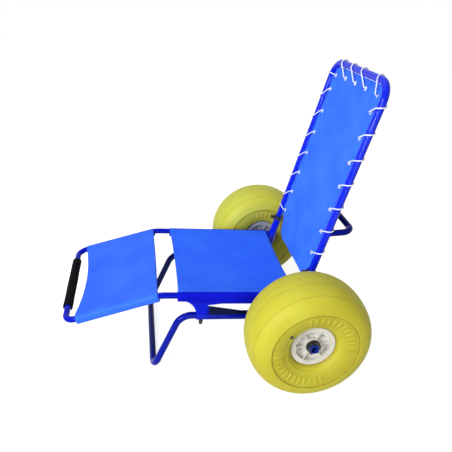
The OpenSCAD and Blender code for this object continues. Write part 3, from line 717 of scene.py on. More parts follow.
@dataclass(frozen=True)
class MouldedFinish:
    """Moulded rubber or plastic with a slight grain and marks of use."""

    name: str
    colour: Colour
    marked: Colour
    marks: Pair
    mark_scale: float
    roughness: float
    grain: float
    specular: float = 0.45
    grime: Colour | None = None

    def material(self) -> Material:
        """Builds the moulding.

        Returns:
            The material.
        """
        made = ShaderTree(self.name)
        share = made.patches(self.mark_scale, detail=6.0, source=self.marks, target=(0.0, 0.75))
        colour = made.mixed(share, linear(self.colour), linear(self.marked))
        # Grime and painted shade: darkens towards the grime colour by each vertex's stored share, in patches.
        if self.grime:
            held = made.node("ShaderNodeAttribute", attribute_name="grime").outputs["Fac"]
            patchy = made.patches(34.0, detail=5.0, source=(0.3, 0.6), target=(0.55, 1.0))
            colour = made.mixed(made.maths("MULTIPLY", held, patchy), colour, linear(self.grime))
        made.put(
            Base_Color=colour,
            Roughness=made.patches(
                40.0, detail=4.0, source=(0.3, 0.7), target=(self.roughness, self.roughness + 0.14)
            ),
            Specular_IOR_Level=self.specular,
        )
        made.bump(made.noise(self.grain, detail=2.0), depth=0.0003, strength=0.3)
        return made.material


@dataclass(frozen=True)
class MetalFinish:
    """Plated metal with brushed dullness."""

    name: str
    colour: Colour
    roughness: float

    def material(self) -> Material:
        """Builds the metal.

        Returns:
            The material.
        """
        made = ShaderTree(self.name)
        dull = tuple(int(channel * 0.72) for channel in self.colour)
        stained = made.patches(60.0, detail=5.0, source=(0.45, 0.7), target=(0.0, 0.7))
        made.put(
            Base_Color=made.mixed(stained, linear(self.colour), linear(dull)),
            Metallic=1.0,
            Roughness=made.patches(
                90.0, detail=4.0, source=(0.3, 0.7), target=(self.roughness, self.roughness + 0.15)
            ),
        )
        return made.material


@dataclass(frozen=True)
class ThreadFinish:
    """Spun fibre of a cord or a sewing thread."""

    name: str
    colour: Colour
    fibre: float

    def material(self) -> Material:
        """Builds the fibre.

        Returns:
            The material.
        """
        made = ShaderTree(self.name)
        soiled = tuple(int(channel * 0.86) for channel in self.colour)
        dirt = made.patches(14.0, detail=5.0, source=(0.4, 0.7), target=(0.0, 0.9))
        made.put(
            Base_Color=made.mixed(dirt, linear(self.colour), linear(soiled)),
            Roughness=0.8,
            Sheen_Weight=0.2,
        )
        made.bump(made.noise(1 / self.fibre, detail=2.0), depth=0.0003, strength=0.5)
        return made.material


Finish = PaintFinish | CanvasFinish | FoamFinish | MouldedFinish | MetalFinish | ThreadFinish

# Painted shade: behind the gusset's notch and below the rail, where the seat's shadow falls on the gusset and
# the lower tubes, and on the front leg towards its far side.
BEHIND_NOTCH = ShadeFade(tuple(-c for c in FORWARD_UP), -0.105, -0.090)
BELOW_RAIL = ShadeFade(RAIL_DOWN, -0.2525, -0.2475)
FAR_SIDE = ShadeFade((-1, 0, 0), -0.205, -0.12)
YELLOW_RUBBER = MouldedFinish(
    "Yellow balloon tyre", (185, 183, 53), (177, 164, 39), marks=(0.40, 0.75), mark_scale=7.0, roughness=0.46,
    grain=260.0, specular=0.24, grime=(128, 104, 22),
)
# Painted light: a paler, shinier copy of the tyre rubber for the far wheel.
LIT_FAR_RUBBER = replace(
    YELLOW_RUBBER, name="Faded balloon tyre", colour=(193, 199, 70), marked=(188, 182, 52), specular=0.35,
    grime=(138, 108, 24),
)
BLACK_PLASTIC = MouldedFinish(
    "Black plastic", (32, 34, 38), (46, 47, 50), marks=(0.5, 0.75), mark_scale=30.0, roughness=0.34,
    grain=900.0,
)


def built(finish: Finish) -> Any:
    """Gives a field that holds a finish's material."""
    return field(default_factory=finish.material)


@dataclass
class Finishes:
    """Every finish on the chair, built once."""

    paint: Material = built(
        PaintFinish("Blue tube paint", (3, 23, 216), (8, 34, 224), roughness=0.06, specular=0.25)
    )
    # Painted shade: a darker, duller copy of the tube paint for the rear handle behind the backrest.
    deep_paint: Material = built(
        PaintFinish("Deep blue tube paint", (2, 9, 124), (6, 18, 134), roughness=0.14, specular=0.06)
    )
    # Painted shade: a darker, less shiny copy of the tube paint for the seat frame under the slings.
    rail_paint: Material = built(
        PaintFinish("Rail paint", (2, 14, 174), (6, 22, 184), roughness=0.15, specular=0.09)
    )
    # Painted shade: the gusset darkens behind its notch and below the rail, and the lower tubes behind the
    # notch; the lower tubes and the front leg are darker, less shiny copies of the tube paint, and the leg
    # darkens again towards its far side.
    plate_paint: Material = built(PaintFinish(
        "Gusset paint", (5, 22, 204), (12, 34, 212), roughness=0.16, specular=0.1, dull=(2, 4, 52),
        fades=(BEHIND_NOTCH, BELOW_RAIL),
    ))
    lower_paint: Material = built(PaintFinish(
        "Lower tube paint", (4, 19, 188), (10, 30, 196), roughness=0.16, specular=0.13, dull=(2, 9, 150),
        fades=(BEHIND_NOTCH,),
    ))
    leg_paint: Material = built(PaintFinish(
        "Front leg paint", (4, 15, 150), (10, 24, 158), roughness=0.14, specular=0.13, dull=(9, 20, 100),
        fades=(FAR_SIDE,),
    ))
    boss_paint: Material = built(PaintFinish("Screw boss paint", (14, 16, 26), (22, 24, 34), roughness=0.3))
    # Painted shade: a darker, greyer copy of the tube paint for the axle and its stops.
    axle_paint: Material = built(
        PaintFinish("Dark blue axle paint", (22, 44, 140), (30, 54, 150), roughness=0.22)
    )
    leg_canvas: Material = built(CanvasFinish("Leg rest canvas", (34, 98, 250), (50, 112, 251)))
    seat_canvas: Material = built(CanvasFinish("Sling canvas", (24, 98, 252), (38, 110, 253)))
    back_canvas: Material = built(CanvasFinish("Back canvas", (40, 108, 251), (56, 124, 252)))
    # Painted shade: a darker, less shiny copy of the sling canvas for the sleeves' sides and undersides.
    sleeve_canvas: Material = built(
        CanvasFinish("Sleeve canvas", (2, 11, 190), (4, 16, 200), sheen=0.0, specular=0.08)
    )
    foam: Material = built(FoamFinish("Black foam", (8, 9, 12), pore=0.0014))
    tyre: Material = built(YELLOW_RUBBER)
    faded_tyre: Material = built(LIT_FAR_RUBBER)
    hub: Material = built(MouldedFinish(
        "White hub", (206, 205, 199), (182, 176, 165), marks=(0.52, 0.74), mark_scale=16.0, roughness=0.4,
        grain=500.0, specular=0.28,
    ))
    # Painted shade: a darker, bluish copy of the hub plastic for the hubs' inner halves.
    inner_hub: Material = built(MouldedFinish(
        "Dusty hub", (152, 162, 180), (130, 134, 140), marks=(0.45, 0.7), mark_scale=14.0, roughness=0.5,
        grain=500.0,
    ))
    black: Material = built(BLACK_PLASTIC)
    # Painted reflection: the navy tint of this black plastic stands for the blue that it reflects.
    collar: Material = built(
        replace(BLACK_PLASTIC, name="Collar plastic", colour=(22, 25, 58), marked=(34, 36, 66))
    )
    zinc: Material = built(MetalFinish("Zinc steel", (176, 178, 182), roughness=0.34))
    eyelet: Material = built(MetalFinish("Eyelet metal", (238, 242, 250), roughness=0.5))
    cord: Material = built(ThreadFinish("White lacing cord", (232, 240, 252), fibre=0.0004))
    thread: Material = built(ThreadFinish("Blue sewing thread", (16, 40, 190), fibre=0.0003))


@dataclass
class Trees:
    """Every Geometry Nodes tree, built once."""

    sweep: NodeTree = field(default_factory=sweep_tree)
    stitch: NodeTree = field(default_factory=stitch_tree)
    ring: NodeTree = field(default_factory=ring_tree)
    spots: NodeTree = field(default_factory=spots_tree)


def settle(piece: Object, body: str, nodes: Sequence[str] = ()) -> None:
    """Gives a finished piece its body and hides the nodes that it stands for.

    Args:
        piece: the finished object.
        body: body that it rides on.
        nodes: nodes that it replaces.
    """
    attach(piece, body)
    if nodes:
        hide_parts(*nodes)
    LOG.info("%s rides on %s, %d faces", piece.name, body, len(piece.data.polygons))


def dress(
    node: str, body: str, finish: Material, round_edge: float = 0.0
) -> None:
    """Dresses a node with a welded copy that has smooth shading and sharp creases.

    Args:
        node: the node to copy.
        body: body that it rides on.
        finish: the copy's material.
        round_edge: width of the bevel on its edges, or zero.
    """
    name = "dressed_" + node
    shape = bmesh.new()
    shape.from_mesh(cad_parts[node].data)
    bmesh.ops.remove_doubles(shape, verts=shape.verts, dist=WELD_DISTANCE)
    if round_edge:
        bmesh.ops.dissolve_limit(shape, angle_limit=FLAT_ANGLE, verts=shape.verts, edges=shape.edges)
    for edge in shape.edges:
        edge.smooth = len(edge.link_faces) == 2 and edge.calc_face_angle(0.0) < CREASE_ANGLE
    mesh = bpy.data.meshes.new(name)
    shape.to_mesh(mesh)
    shape.free()
    for face in mesh.polygons:
        face.use_smooth = True
    mesh.materials.append(finish)
    made = linked(name, mesh)
    if round_edge:
        bevel = made.modifiers.new("Rounded edges", "BEVEL")
        bevel.width = round_edge
        bevel.segments = 2
        bevel.limit_method = "ANGLE"
        bevel.angle_limit = CREASE_ANGLE
        bevel.harden_normals = True
    settle(made, body, [node])


def sheet_mesh(name: str, grid: Sequence[Sequence[Vector]], cloth: Sequence[Sequence[Pair]],
               finish: Material, skip: Callable[[int, int], bool] | None = None) -> Object:
    """Makes a single layer of cloth from a grid of points.

    Args:
        name: the object's name.
        grid: rows of points.
        cloth: the cloth's own coordinates at each point.
        finish: the canvas.
        skip: tells whether a face is left out.

    Returns:
        The object.
    """
    rows, columns = len(grid), len(grid[0])
    faces = [
        (i * columns + j, i * columns + j + 1, (i + 1) * columns + j + 1, (i + 1) * columns + j)
        for i in range(rows - 1) for j in range(columns - 1)
        if skip is None or not skip(i, j)
    ]
    made = mesh_object(name, [p for row in grid for p in row], faces)
    flat = [uv for row in cloth for uv in row]
    layer = made.data.uv_layers.new(name="cloth")
    for loop in made.data.loops:
        layer.data[loop.index].uv = flat[loop.vertex_index]
    made.data.materials.append(finish)
    return made


def thicken(piece: Object) -> None:
    """Gives a layer of cloth its thickness.

    Args:
        piece: the layer.
    """
    solid = piece.modifiers.new("Cloth thickness", "SOLIDIFY")
    solid.thickness = CLOTH_THICKNESS
    solid.offset = 0.0
    solid.use_even_offset = True


def stitched(name: str, rows: Sequence[Sequence[Vector]], finishes: Finishes, trees: Trees,
             closed: bool = False) -> Object:
    """Sews rows of stitches.

    Args:
        name: the stitches' name.
        rows: points along each row.
        finishes: the chair's finishes.
        trees: the trees for repeats.
        closed: joins each row's end to its start.

    Returns:
        The stitches.
    """
    path = path_object(name, rows, closed)
    return grown(path, trees.stitch, finishes.thread, Pitch=STITCH_PITCH, Size=STITCH_SIZE)


@dataclass
class SleevedSling:
    """A canvas sling with a sewn sleeve round each rail."""

    name: str
    place: Place
    length: float
    sag: float
    scoop: float
    canvas: Material
    slot_span: Pair | None = None
    rail_x: float = 0.240
    sleeve_r: float = 0.0122
    slack: float = 0.007
    seam_in: float = 0.024
    tail: float = 0.012
    hem: float = 0.018
    hem_turn: float = 0.004
    raw_edge: float = 0.0004
    stitch_in: float = 0.004
    seam_insets: Pair = (0.001, 0.006)
    edge_clear: float = 0.002
    leave_angle: float = 99.0
    foot_angle: float = 208.0
    slot_half: float = 0.0042
    slot_mid: float = 0.230
    slot_clear: float = 0.0025
    sleeve_canvas: Material | None = None
    sleeve_in: float = 0.0018
    sleeve_under_in: float = 0.020
    sleeve_under_rise: float = 0.004
    droop: float = 0.0
    droop_in: float = 0.05
    droop_run: float = 0.17
    grid_step: float = 0.0065
    sheet_reach: float = 0.006
    pull_rise: float = 0.0012
    seam_rise: float = 0.0007
    drift_rise: float = 0.0016
    ruck_rise: float = 0.0006
    sewn_dip: float = 0.0009

    def round_rail(self, angle: float, drop: float = 0.0) -> Pair:
        """Place across and up on the sleeve, at an angle round the rail and lowered by a drop."""
        return self.rail_x + self.sleeve_r * math.cos(angle), self.sleeve_r * math.sin(angle) - drop

    def sheet_rise(self, x: float) -> float:
        """Height of the sheet's middle layer over the rails' plane, at a place across."""
        edge, top = self.round_rail(math.radians(self.leave_angle))
        return top - self.sag * (1 - min(abs(x) / edge, 1.0) ** 2)

    def half_section(self) -> list[Pair]:
        """Points of the left half of the section, from the raw edge round the rail to the middle.

        Returns:
            Places across and up.
        """
        leave, turn = math.radians(self.leave_angle), math.radians(self.foot_angle)
        seam_x = self.rail_x - self.seam_in
        points = [(x, self.sheet_rise(x) - LAYER_GAP) for x in spaced(seam_x - self.tail, seam_x, 4)]
        seam, foot = points[-1], self.round_rail(turn, self.slack)
        for share in spaced(0, 1, 8)[1:]:
            points.append((seam[0] + (foot[0] - seam[0]) * share, seam[1] + (foot[1] - seam[1]) * share))
        points += [self.round_rail(a, self.slack) for a in spaced(turn, math.tau, 14)[1:]]
        points += [self.round_rail(a) for a in spaced(0, leave, 12)]
        edge = points[-1][0]
        return points + [(edge * share, self.sheet_rise(edge * share)) for share in spaced(1, 0, 44)[1:]]

    def section(self) -> list[Pair]:
        """Places across and up of the whole section, from the left raw edge to the right one."""
        half = self.half_section()
        return half + [(-x, n) for x, n in reversed(half[:-1])]

    def edge_set(self, x: float) -> float:
        """How far the curved front edge lies behind the sleeves' ends, at a place across."""
        half = self.rail_x - self.sleeve_r - self.edge_clear
        return self.scoop * max(1 - (x / half) ** 2, 0.0)

    def folds(self, x: float, y: float) -> float:
        """Height of the folds on the sheet.

        Args:
            x: way across.
            y: way along.

        Returns:
            The height.
        """
        from_end = min(y, self.length - y)
        inner = smooth(0.004, 0.05, self.rail_x - self.sleeve_r - abs(x))
        pulled = hump(from_end, 0.07) * smooth(0.06, 0.2, abs(x))
        pull = self.pull_rise * math.sin(96 * abs(x) + 55 * y) * pulled
        by_seam = hump(self.rail_x - abs(x) - 0.03, 0.022)
        seam = self.seam_rise * math.sin(y * 150 + 2.2 * math.sin(31 * y)) * by_seam
        drift = self.drift_rise * noise.noise(Vector((x * 7, y * 7, self.length * 10)))
        sewn = sum(hump(y - line, 0.0028) for line in (self.hem, self.length - self.hem))
        ruck = self.ruck_rise * math.sin(x * 130 + 3 * math.sin(x * 23)) * hump(from_end, self.hem)
        return inner * (pull + drift + seam + ruck - self.sewn_dip * sewn)

    def stations(self) -> list[float]:
        """Places along the sling that its grid runs through.

        Returns:
            Distances from the front edge.
        """
        places = set(spaced(0.0, self.length, round(self.length / self.grid_step)))
        if self.slot_span:
            start, end = self.slot_span
            clear = {p for p in places if min(abs(p - start), abs(p - end)) > self.slot_clear}
            places = clear | {start, end}
        return sorted(places)

    def point(self, x: float, n: float, y: float, lower: float = 0.0) -> Vector:
        """Finds a point of the cloth, with its scoop, folds and droop.

        Args:
            x: way across.
            n: height in the section.
            y: way along the cloth.
            lower: distance under the layer.

        Returns:
            The point in the part's frame.
        """
        on_sheet = abs(x) < self.rail_x - self.sleeve_r and abs(n - self.sheet_rise(x)) < self.sheet_reach
        front = self.edge_set(x) if on_sheet else 0.0
        along = front + y * (self.length - front) / self.length
        lift = self.folds(x, along) if on_sheet else 0.0
        if abs(x) > self.rail_x - self.droop_in:
            lift -= self.droop * smooth(0.0, self.slack + self.sleeve_r, -n) * smooth(0.0, self.droop_run, y)
        return self.place.at(x, along, n + lift - lower)

    def dress_sleeves(self, body: Object, section: Sequence[Pair], columns: int) -> None:
        """Gives the faces round the outer side of the rails and under them the darker sleeve canvas, as
        painted shade.

        Args:
            body: the sling's cloth.
            section: points of its section.
            columns: points along it for each point of the section.
        """
        body.data.materials.append(self.sleeve_canvas)
        for face in body.data.polygons:
            spots = [section[v // columns] for v in face.vertices]
            wide, high = max(abs(x) for x, n in spots), max(n for x, n in spots)
            under = wide > self.rail_x - self.sleeve_under_in and high < self.sleeve_under_rise
            face.material_index = 1 if under or wide > self.rail_x - self.sleeve_in else 0

    def build_hems(self, inner: float) -> list[Object]:
        """Builds the turned hem at each end.

        Args:
            inner: half of the hems' width.

        Returns:
            Both hems.
        """
        turned = self.hem + self.hem_turn
        across = spaced(inner, -inner, 60)
        hems = []
        for start, end in ((self.raw_edge, turned), (self.length - turned, self.length - self.raw_edge)):
            steps = spaced(start, end, 5)
            rows = [[self.point(x, self.sheet_rise(x), y, LAYER_GAP) for y in steps] for x in across]
            cloth = [[(x, y) for y in steps] for x in across]
            hems.append(sheet_mesh(self.name + "_hem", rows, cloth, self.canvas))
        return hems

    def seam_rows(self, inner: float) -> list[list[Vector]]:
        """Points along the stitches of the sleeves and hems.

        Args:
            inner: half of the hems' width.

        Returns:
            The rows of stitches.
        """
        ends = self.stitch_in, self.length - self.stitch_in
        rows = []
        for inset in self.seam_insets:
            x = self.rail_x - self.seam_in - inset
            for sign in (1, -1):
                rows.append([
                    self.point(sign * x, self.sheet_rise(x), y, -STITCH_LIFT) for y in spaced(*ends, 90)
                ])
        for y in (ends[0], self.hem, self.length - self.hem, ends[1]):
            rows.append([
                self.point(x, self.sheet_rise(x), y, -STITCH_LIFT) for x in spaced(inner, -inner, 90)
            ])
        return rows

    def build(self, finishes: Finishes, trees: Trees, node: str) -> None:
        """Builds the sling, its hems and its stitches.

        Args:
            finishes: the chair's finishes.
            trees: the trees for repeats.
            node: the node that the sling stands for.
        """
        section, ways = self.section(), self.stations()
        widths = [0.0]
        for a, b in zip(section, section[1:]):
            widths.append(widths[-1] + math.dist(a, b))

        def in_slot(i: int, j: int) -> bool:
            """Whether a face lies where the gusset passes the sleeve."""
            if not self.slot_span:
                return False
            x = (section[i][0] + section[i + 1][0]) / 2
            n = (section[i][1] + section[i + 1][1]) / 2
            y = (ways[j] + ways[j + 1]) / 2
            across = abs(abs(x) - self.slot_mid) < self.slot_half
            return across and n < 0 and self.slot_span[0] < y < self.slot_span[1]

        grid = [[self.point(x, n, y) for y in ways] for x, n in section]
        cloth = [[(w, y) for y in ways] for w in widths]
        body = sheet_mesh(self.name, grid, cloth, self.canvas, in_slot)
        if self.sleeve_canvas:
            self.dress_sleeves(body, section, len(ways))
        inner = self.rail_x - self.sleeve_r - self.seam_in - self.tail
        sling = joined([body] + self.build_hems(inner))
        thicken(sling)
        seams = stitched(self.name + "_stitches", self.seam_rows(inner), finishes, trees)
        settle(sling, "frame", [node])
        settle(seams, "frame")


@dataclass(frozen=True)
class LowerCorner:
    """How one lower corner of the back canvas narrows to its hem."""

    neck: float
    radius: float
    start: float
    end: float


@dataclass
class LacedBack:
    """The backrest's canvas with its eyelets, lacing cord and stopper knots."""

    tube_x: float = 0.226
    tube_r: float = 0.0125
    bend: float = 0.060
    top: float = 0.817
    hem_rise: float = 0.105
    inset: float = 0.0138
    set_front: float = 0.003
    eyelet_inset: float = 0.044
    eyelet_low: float = 0.200
    side_pitch: float = 0.086
    top_pitch: float = 0.088
    side_count: int = 7
    top_count: int = 3
    hole_r: float = 0.004
    flange_r: float = 0.008
    cord_r: float = 0.00225
    wrap_gap: float = 0.0004
    cord_bend: float = 0.006
    cord_run: float = 0.0015
    first_lead: float = 0.0
    right_lead: float = 0.48
    top_lead: float = 0.68
    left_lead: float = 0.33
    wrap_advance: float = 0.009
    wrap_back: float = 107.0
    wrap_front: float = 97.0
    cord_lay: float = 0.016
    lobe_depth: float = 0.06
    cord_step: float = 0.0014
    hole_clear: float = 0.0003
    knot_run: float = 0.011
    knot_set: float = 0.004
    knot_size: float = 0.0021
    tail_length: float = 0.020
    cut_r: float = 0.0052
    roll: float = 0.0009
    eyelet_sides: int = 40
    far_corner: LowerCorner = LowerCorner(neck=0.160, radius=0.052, start=0.150, end=0.196)
    near_corner: LowerCorner = LowerCorner(neck=0.2035, radius=0.020, start=0.14, end=0.20)
    grid_rows: int = 170
    grid_columns: int = 112
    edge_steps: tuple[float, ...] = (0.0006, 0.002, 0.005, 0.009, 0.014, 0.020, 0.027)
    hem_bands: tuple[float, ...] = (0.0005, 0.005, 0.010, 0.015)
    stitch_rows: Pair = (0.003, 0.0125)
    belly: float = 0.005
    pucker: float = 0.0016
    crease_rise: float = 0.0016
    drift_rise: float = 0.0020
    edge_dip: float = 0.0036
    corner_pull: float = 0.0024
    pulled_at: Pair = (0.165, 0.755)
    pulled_from: Pair = (0.215, 0.80)

    def __post_init__(self) -> None:
        """Works out the way along the tube and the eyelets' middles in the backrest's plane."""
        self.side_way = self.top - self.bend - self.eyelet_low
        self.bend_way = self.bend * math.pi / 2
        self.top_way = 2 * (self.tube_x - self.bend)
        self.full_way = 2 * self.side_way + 2 * self.bend_way + self.top_way
        self.cloth_top = self.top - self.inset
        self.wide = self.tube_x - self.inset
        middle = (self.top_count - 1) / 2
        self.stations = (
            [i * self.side_pitch for i in range(self.side_count)]
            + [self.side_way + self.bend_way / 2]
            + [self.full_way / 2 + (i - middle) * self.top_pitch for i in range(self.top_count)]
            + [self.full_way - self.side_way - self.bend_way / 2]
            + [self.full_way - i * self.side_pitch for i in range(self.side_count - 1, -1, -1)]
        )
        self.holes = [self.way_point(s) + self.eyelet_inset * self.inward(s) for s in self.stations]

    def travel(self, s: float) -> float:
        """Angle of travel along the tube.

        Args:
            s: way along the tube's middle line.

        Returns:
            The angle in degrees.
        """
        if s < self.side_way:
            return 90.0
        if s < self.side_way + self.bend_way:
            return 90 - 90 * (s - self.side_way) / self.bend_way
        if s < self.side_way + self.bend_way + self.top_way:
            return 0.0
        if s < self.full_way - self.side_way:
            return -90 * (s - self.side_way - self.bend_way - self.top_way) / self.bend_way
        return -90.0

    def inward(self, s: float) -> Vector:
        """Direction in the backrest's plane from the tube towards the sling, at a way along the tube."""
        a = math.radians(self.travel(s))
        return Vector((math.sin(a), -math.cos(a), 0))

    def way_point(self, s: float) -> Vector:
        """Point of the tube's middle line.

        Args:
            s: way along the tube.

        Returns:
            The point in the backrest's plane.
        """
        if s < self.side_way:
            return Vector((-self.tube_x, self.eyelet_low + s, 0))
        if s < self.side_way + self.bend_way:
            return Vector((-self.tube_x + self.bend, self.top - self.bend, 0)) - self.bend * self.inward(s)
        if s < self.side_way + self.bend_way + self.top_way:
            return Vector((-self.tube_x + self.bend + s - self.side_way - self.bend_way, self.top, 0))
        if s < self.full_way - self.side_way:
            return Vector((self.tube_x - self.bend, self.top - self.bend, 0)) - self.bend * self.inward(s)
        return Vector((self.tube_x, self.eyelet_low + self.full_way - s, 0))

    def lead(self, k: int) -> float:
        """Way that the cord turns round the tube ahead of an eyelet.

        Args:
            k: the eyelet's number.

        Returns:
            The distance along the tube.
        """
        if k == 0:
            return self.first_lead * self.side_pitch
        if k <= self.side_count:
            return self.right_lead * self.side_pitch
        if k <= self.side_count + self.top_count + 1:
            return self.top_lead * self.top_pitch
        return self.left_lead * self.side_pitch

    def wrap(self, k: int, angle: float) -> Vector:
        """Point of the cord's turn round the tube.

        Args:
            k: the eyelet's number.
            angle: angle round the tube, in degrees, from behind to in front.

        Returns:
            The point in the backrest's directions.
        """
        s = self.stations[k] - self.lead(k) + self.wrap_advance * angle / self.wrap_back
        r = self.tube_r + self.wrap_gap + self.cord_r
        a = math.radians(angle)
        return self.way_point(s) + r * (-math.cos(a) * self.inward(s) + math.sin(a) * Vector((0, 0, 1)))

    def into_eyelet(self, k: int, toward: Vector, face: int, angle: float) -> Vector:
        """Point of the cord's bend at an eyelet.

        Args:
            k: the eyelet's number.
            toward: where the strand comes from or goes to.
            face: 1 in front, -1 behind.
            angle: angle along the bend, in degrees.

        Returns:
            The point in the backrest's directions.
        """
        hole = self.holes[k] - (self.hole_r - self.cord_r - self.hole_clear) * self.inward(self.stations[k])
        out = Vector((toward.x - hole.x, toward.y - hole.y, 0)).normalized()
        a = math.radians(angle)
        rise = self.set_front + face * (self.cord_run + self.cord_bend * math.cos(a))
        return hole + self.cord_bend * (1 - math.sin(a)) * out + Vector((0, 0, rise))

    def cord_way(self) -> list[Vector]:
        """Points along the whole lacing.

        Returns:
            Points in the backrest's directions, from the right lower end to the left one.
        """
        last = len(self.stations) - 1
        points: list[Vector] = []
        for k in range(last + 1):
            points += [self.wrap(k, a) for a in spaced(-self.wrap_back, self.wrap_front, 20)]
            front = [self.into_eyelet(k, points[-1], 1, a) for a in spaced(0, 90, 6)]
            points += [points[-1].lerp(front[0], share) for share in (0.25, 0.5, 0.75)]
            points += front
            if k < last:
                target = self.wrap(k + 1, -self.wrap_back)
                behind = [self.into_eyelet(k, target, -1, a) for a in spaced(90, 0, 6)]
                points += behind
                points += [behind[-1].lerp(target, share) for share in (0.25, 0.5, 0.75)]
        first = (points[0] - points[1]).normalized()
        end = points[-1] - Vector((0, 0, self.cord_run + 2 * self.cord_r))
        return [points[0] + self.knot_run * first] + points + [end]

    def half_width(self, t: float, side: Side) -> float:
        """Width of the canvas from its middle at a height, on one side.

        Args:
            t: height along the back.
            side: the sitter's side. The canvas is laced closer to the tube on the left.

        Returns:
            The width.
        """
        low = self.near_corner if side is Side.LEFT else self.far_corner
        width = low.neck + (self.wide - low.neck) * smooth(low.start, low.end, t)
        width -= rounding(self.hem_rise + low.radius - t, low.radius)
        top_radius = self.bend - self.inset
        return width - rounding(t - (self.cloth_top - top_radius), top_radius)

    def relief(self, x: float, t: float) -> float:
        """Height of the canvas in front of its flat plane.

        Args:
            x: way across.
            t: height along the back.

        Returns:
            The height.
        """
        share = (t - self.hem_rise) / (self.cloth_top - self.hem_rise)
        middle = max(1 - (x / self.wide) ** 2, 0.0)
        height = -self.belly * middle * math.sin(math.pi * min(max(share, 0.0), 1.0))
        for k, hole in enumerate(self.holes):
            dx, dt = x - hole.x, t - hole.y
            d = math.hypot(dx, dt)
            if 0.006 < d < 0.11:
                fade = smooth(0.007, 0.022, d) * hump(d, 0.055)
                height += self.pucker * math.sin(5 * math.atan2(dt, dx) + 1.3 * k) * fade
        low = smooth(0.55, 0.05, share)
        height += self.crease_rise * low * math.sin(70 * (t * 0.86 - abs(x) * 0.5) + 1.2 * math.sin(9 * x))
        height += self.drift_rise * noise.noise(Vector((x * 6, t * 6, 3.7)))
        side = Side.LEFT if x > 0 else Side.RIGHT
        edge = min(max(self.half_width(t, side) - abs(x), 0.0), max(self.cloth_top - t, 0.0))
        height -= self.edge_dip * hump(edge, 0.016)
        away = math.dist((x, t), self.pulled_at)
        turn = math.atan2(t - self.pulled_from[1], x - self.pulled_from[0])
        return height + self.corner_pull * math.sin(11 * turn) * hump(away, 0.055) * smooth(0.0, 0.03, edge)

    def canvas_point(self, x: float, t: float, behind: float = 0.0) -> Vector:
        """Point of the part's frame on the canvas, or a distance behind its front layer."""
        return BACK.at(x, t, self.set_front + self.relief(x, t) - behind)

    def outline(self, steps: int = 260) -> list[Pair]:
        """Closed outline of the canvas.

        Args:
            steps: number of heights on each side.

        Returns:
            Places across and up, anticlockwise in that plane, from the lower corner in +X.
        """
        top, rise = self.cloth_top, self.cloth_top - self.hem_rise
        heights = [self.hem_rise + rise * (0.5 - 0.5 * math.cos(math.pi * s)) for s in spaced(0, 1, steps)]
        left = [(self.half_width(t, Side.LEFT), t) for t in heights]
        right = [(-self.half_width(t, Side.RIGHT), t) for t in reversed(heights)]
        over = [(x, top) for x in spaced(left[-1][0], right[0][0], 60)[1:-1]]
        under = [(x, self.hem_rise) for x in spaced(right[-1][0], left[0][0], 60)[1:-1]]
        return left + over + right + under

    def inset_line(self, distance: float) -> list[Pair]:
        """The outline moved inwards.

        Args:
            distance: how far.

        Returns:
            The moved outline.
        """
        line = self.outline()
        moved = []
        for i, (x, t) in enumerate(line):
            a, b = line[i - 2], line[(i + 2) % len(line)]
            length = math.dist(a, b)
            moved.append((x - distance * (b[1] - a[1]) / length, t + distance * (b[0] - a[0]) / length))
        return moved

    def build_canvas(self, finishes: Finishes, trees: Trees) -> tuple[Object, Object]:
        """Builds the canvas with its turned hem, and the stitches along it.

        Args:
            finishes: the chair's finishes.
            trees: the trees for repeats.

        Returns:
            The canvas and its stitches.
        """
        rise = self.cloth_top - self.hem_rise
        heights = {self.hem_rise + rise * s for s in spaced(0, 1, self.grid_rows)}
        heights |= {self.hem_rise + e for e in self.edge_steps}
        heights |= {self.cloth_top - e for e in self.edge_steps}
        flat = []
        for share in spaced(1, -1, self.grid_columns):
            side = Side.LEFT if share > 0 else Side.RIGHT
            flat.append([(share * self.half_width(t, side), t) for t in sorted(heights)])

        def in_hole(i: int, j: int) -> bool:
            """Whether a face lies in an eyelet's hole."""
            x = (flat[i][j][0] + flat[i + 1][j + 1][0]) / 2
            t = (flat[i][j][1] + flat[i + 1][j + 1][1]) / 2
            return any(math.hypot(x - h.x, t - h.y) < self.cut_r for h in self.holes)

        grid = [[self.canvas_point(x, t) for x, t in row] for row in flat]
        body = sheet_mesh("back_canvas", grid, flat, finishes.back_canvas, in_hole)
        bands = [self.inset_line(d) for d in self.hem_bands]
        around = [band + band[:1] for band in bands]
        ring = [[self.canvas_point(x, t, LAYER_GAP) for x, t in band] for band in around]
        hem = sheet_mesh("back_hem", ring, around, finishes.back_canvas)
        canvas = joined([body, hem])
        thicken(canvas)
        rows = [
            [self.canvas_point(x, t, -STITCH_LIFT) for x, t in self.inset_line(inset)]
            for inset in self.stitch_rows
        ]
        return canvas, stitched("back_stitches", rows, finishes, trees, closed=True)

    def build_eyelets(self, finishes: Finishes, trees: Trees) -> Object:
        """Builds the rolled metal eyelets.

        Args:
            finishes: the chair's finishes.
            trees: the trees for repeats.

        Returns:
            All eyelets as one piece.
        """
        half, roll = CLOTH_THICKNESS / 2, self.roll
        arc = [
            (self.hole_r, half * 0.2), (self.hole_r, half + roll * 0.4),
            (self.hole_r + roll * 0.4, half + roll * 0.9), (self.hole_r + roll * 1.4, half + roll),
            (self.flange_r - roll, half + roll * 0.6), (self.flange_r, half + roll * 0.1),
            (self.flange_r - 0.0004, half * 0.9),
        ]
        ring = arc + [(r, -rise) for r, rise in reversed(arc)]
        item = lathe("eyelet", ring, self.eyelet_sides, Vector())
        item.data.transform(X_TO_Z)
        spots = mesh_object("eyelets", [self.canvas_point(h.x, h.y) for h in self.holes], ())
        made = grown(spots, trees.spots, finishes.eyelet, Item=item, Turn=BACK.turn().to_euler())
        bpy.data.objects.remove(item)
        return made

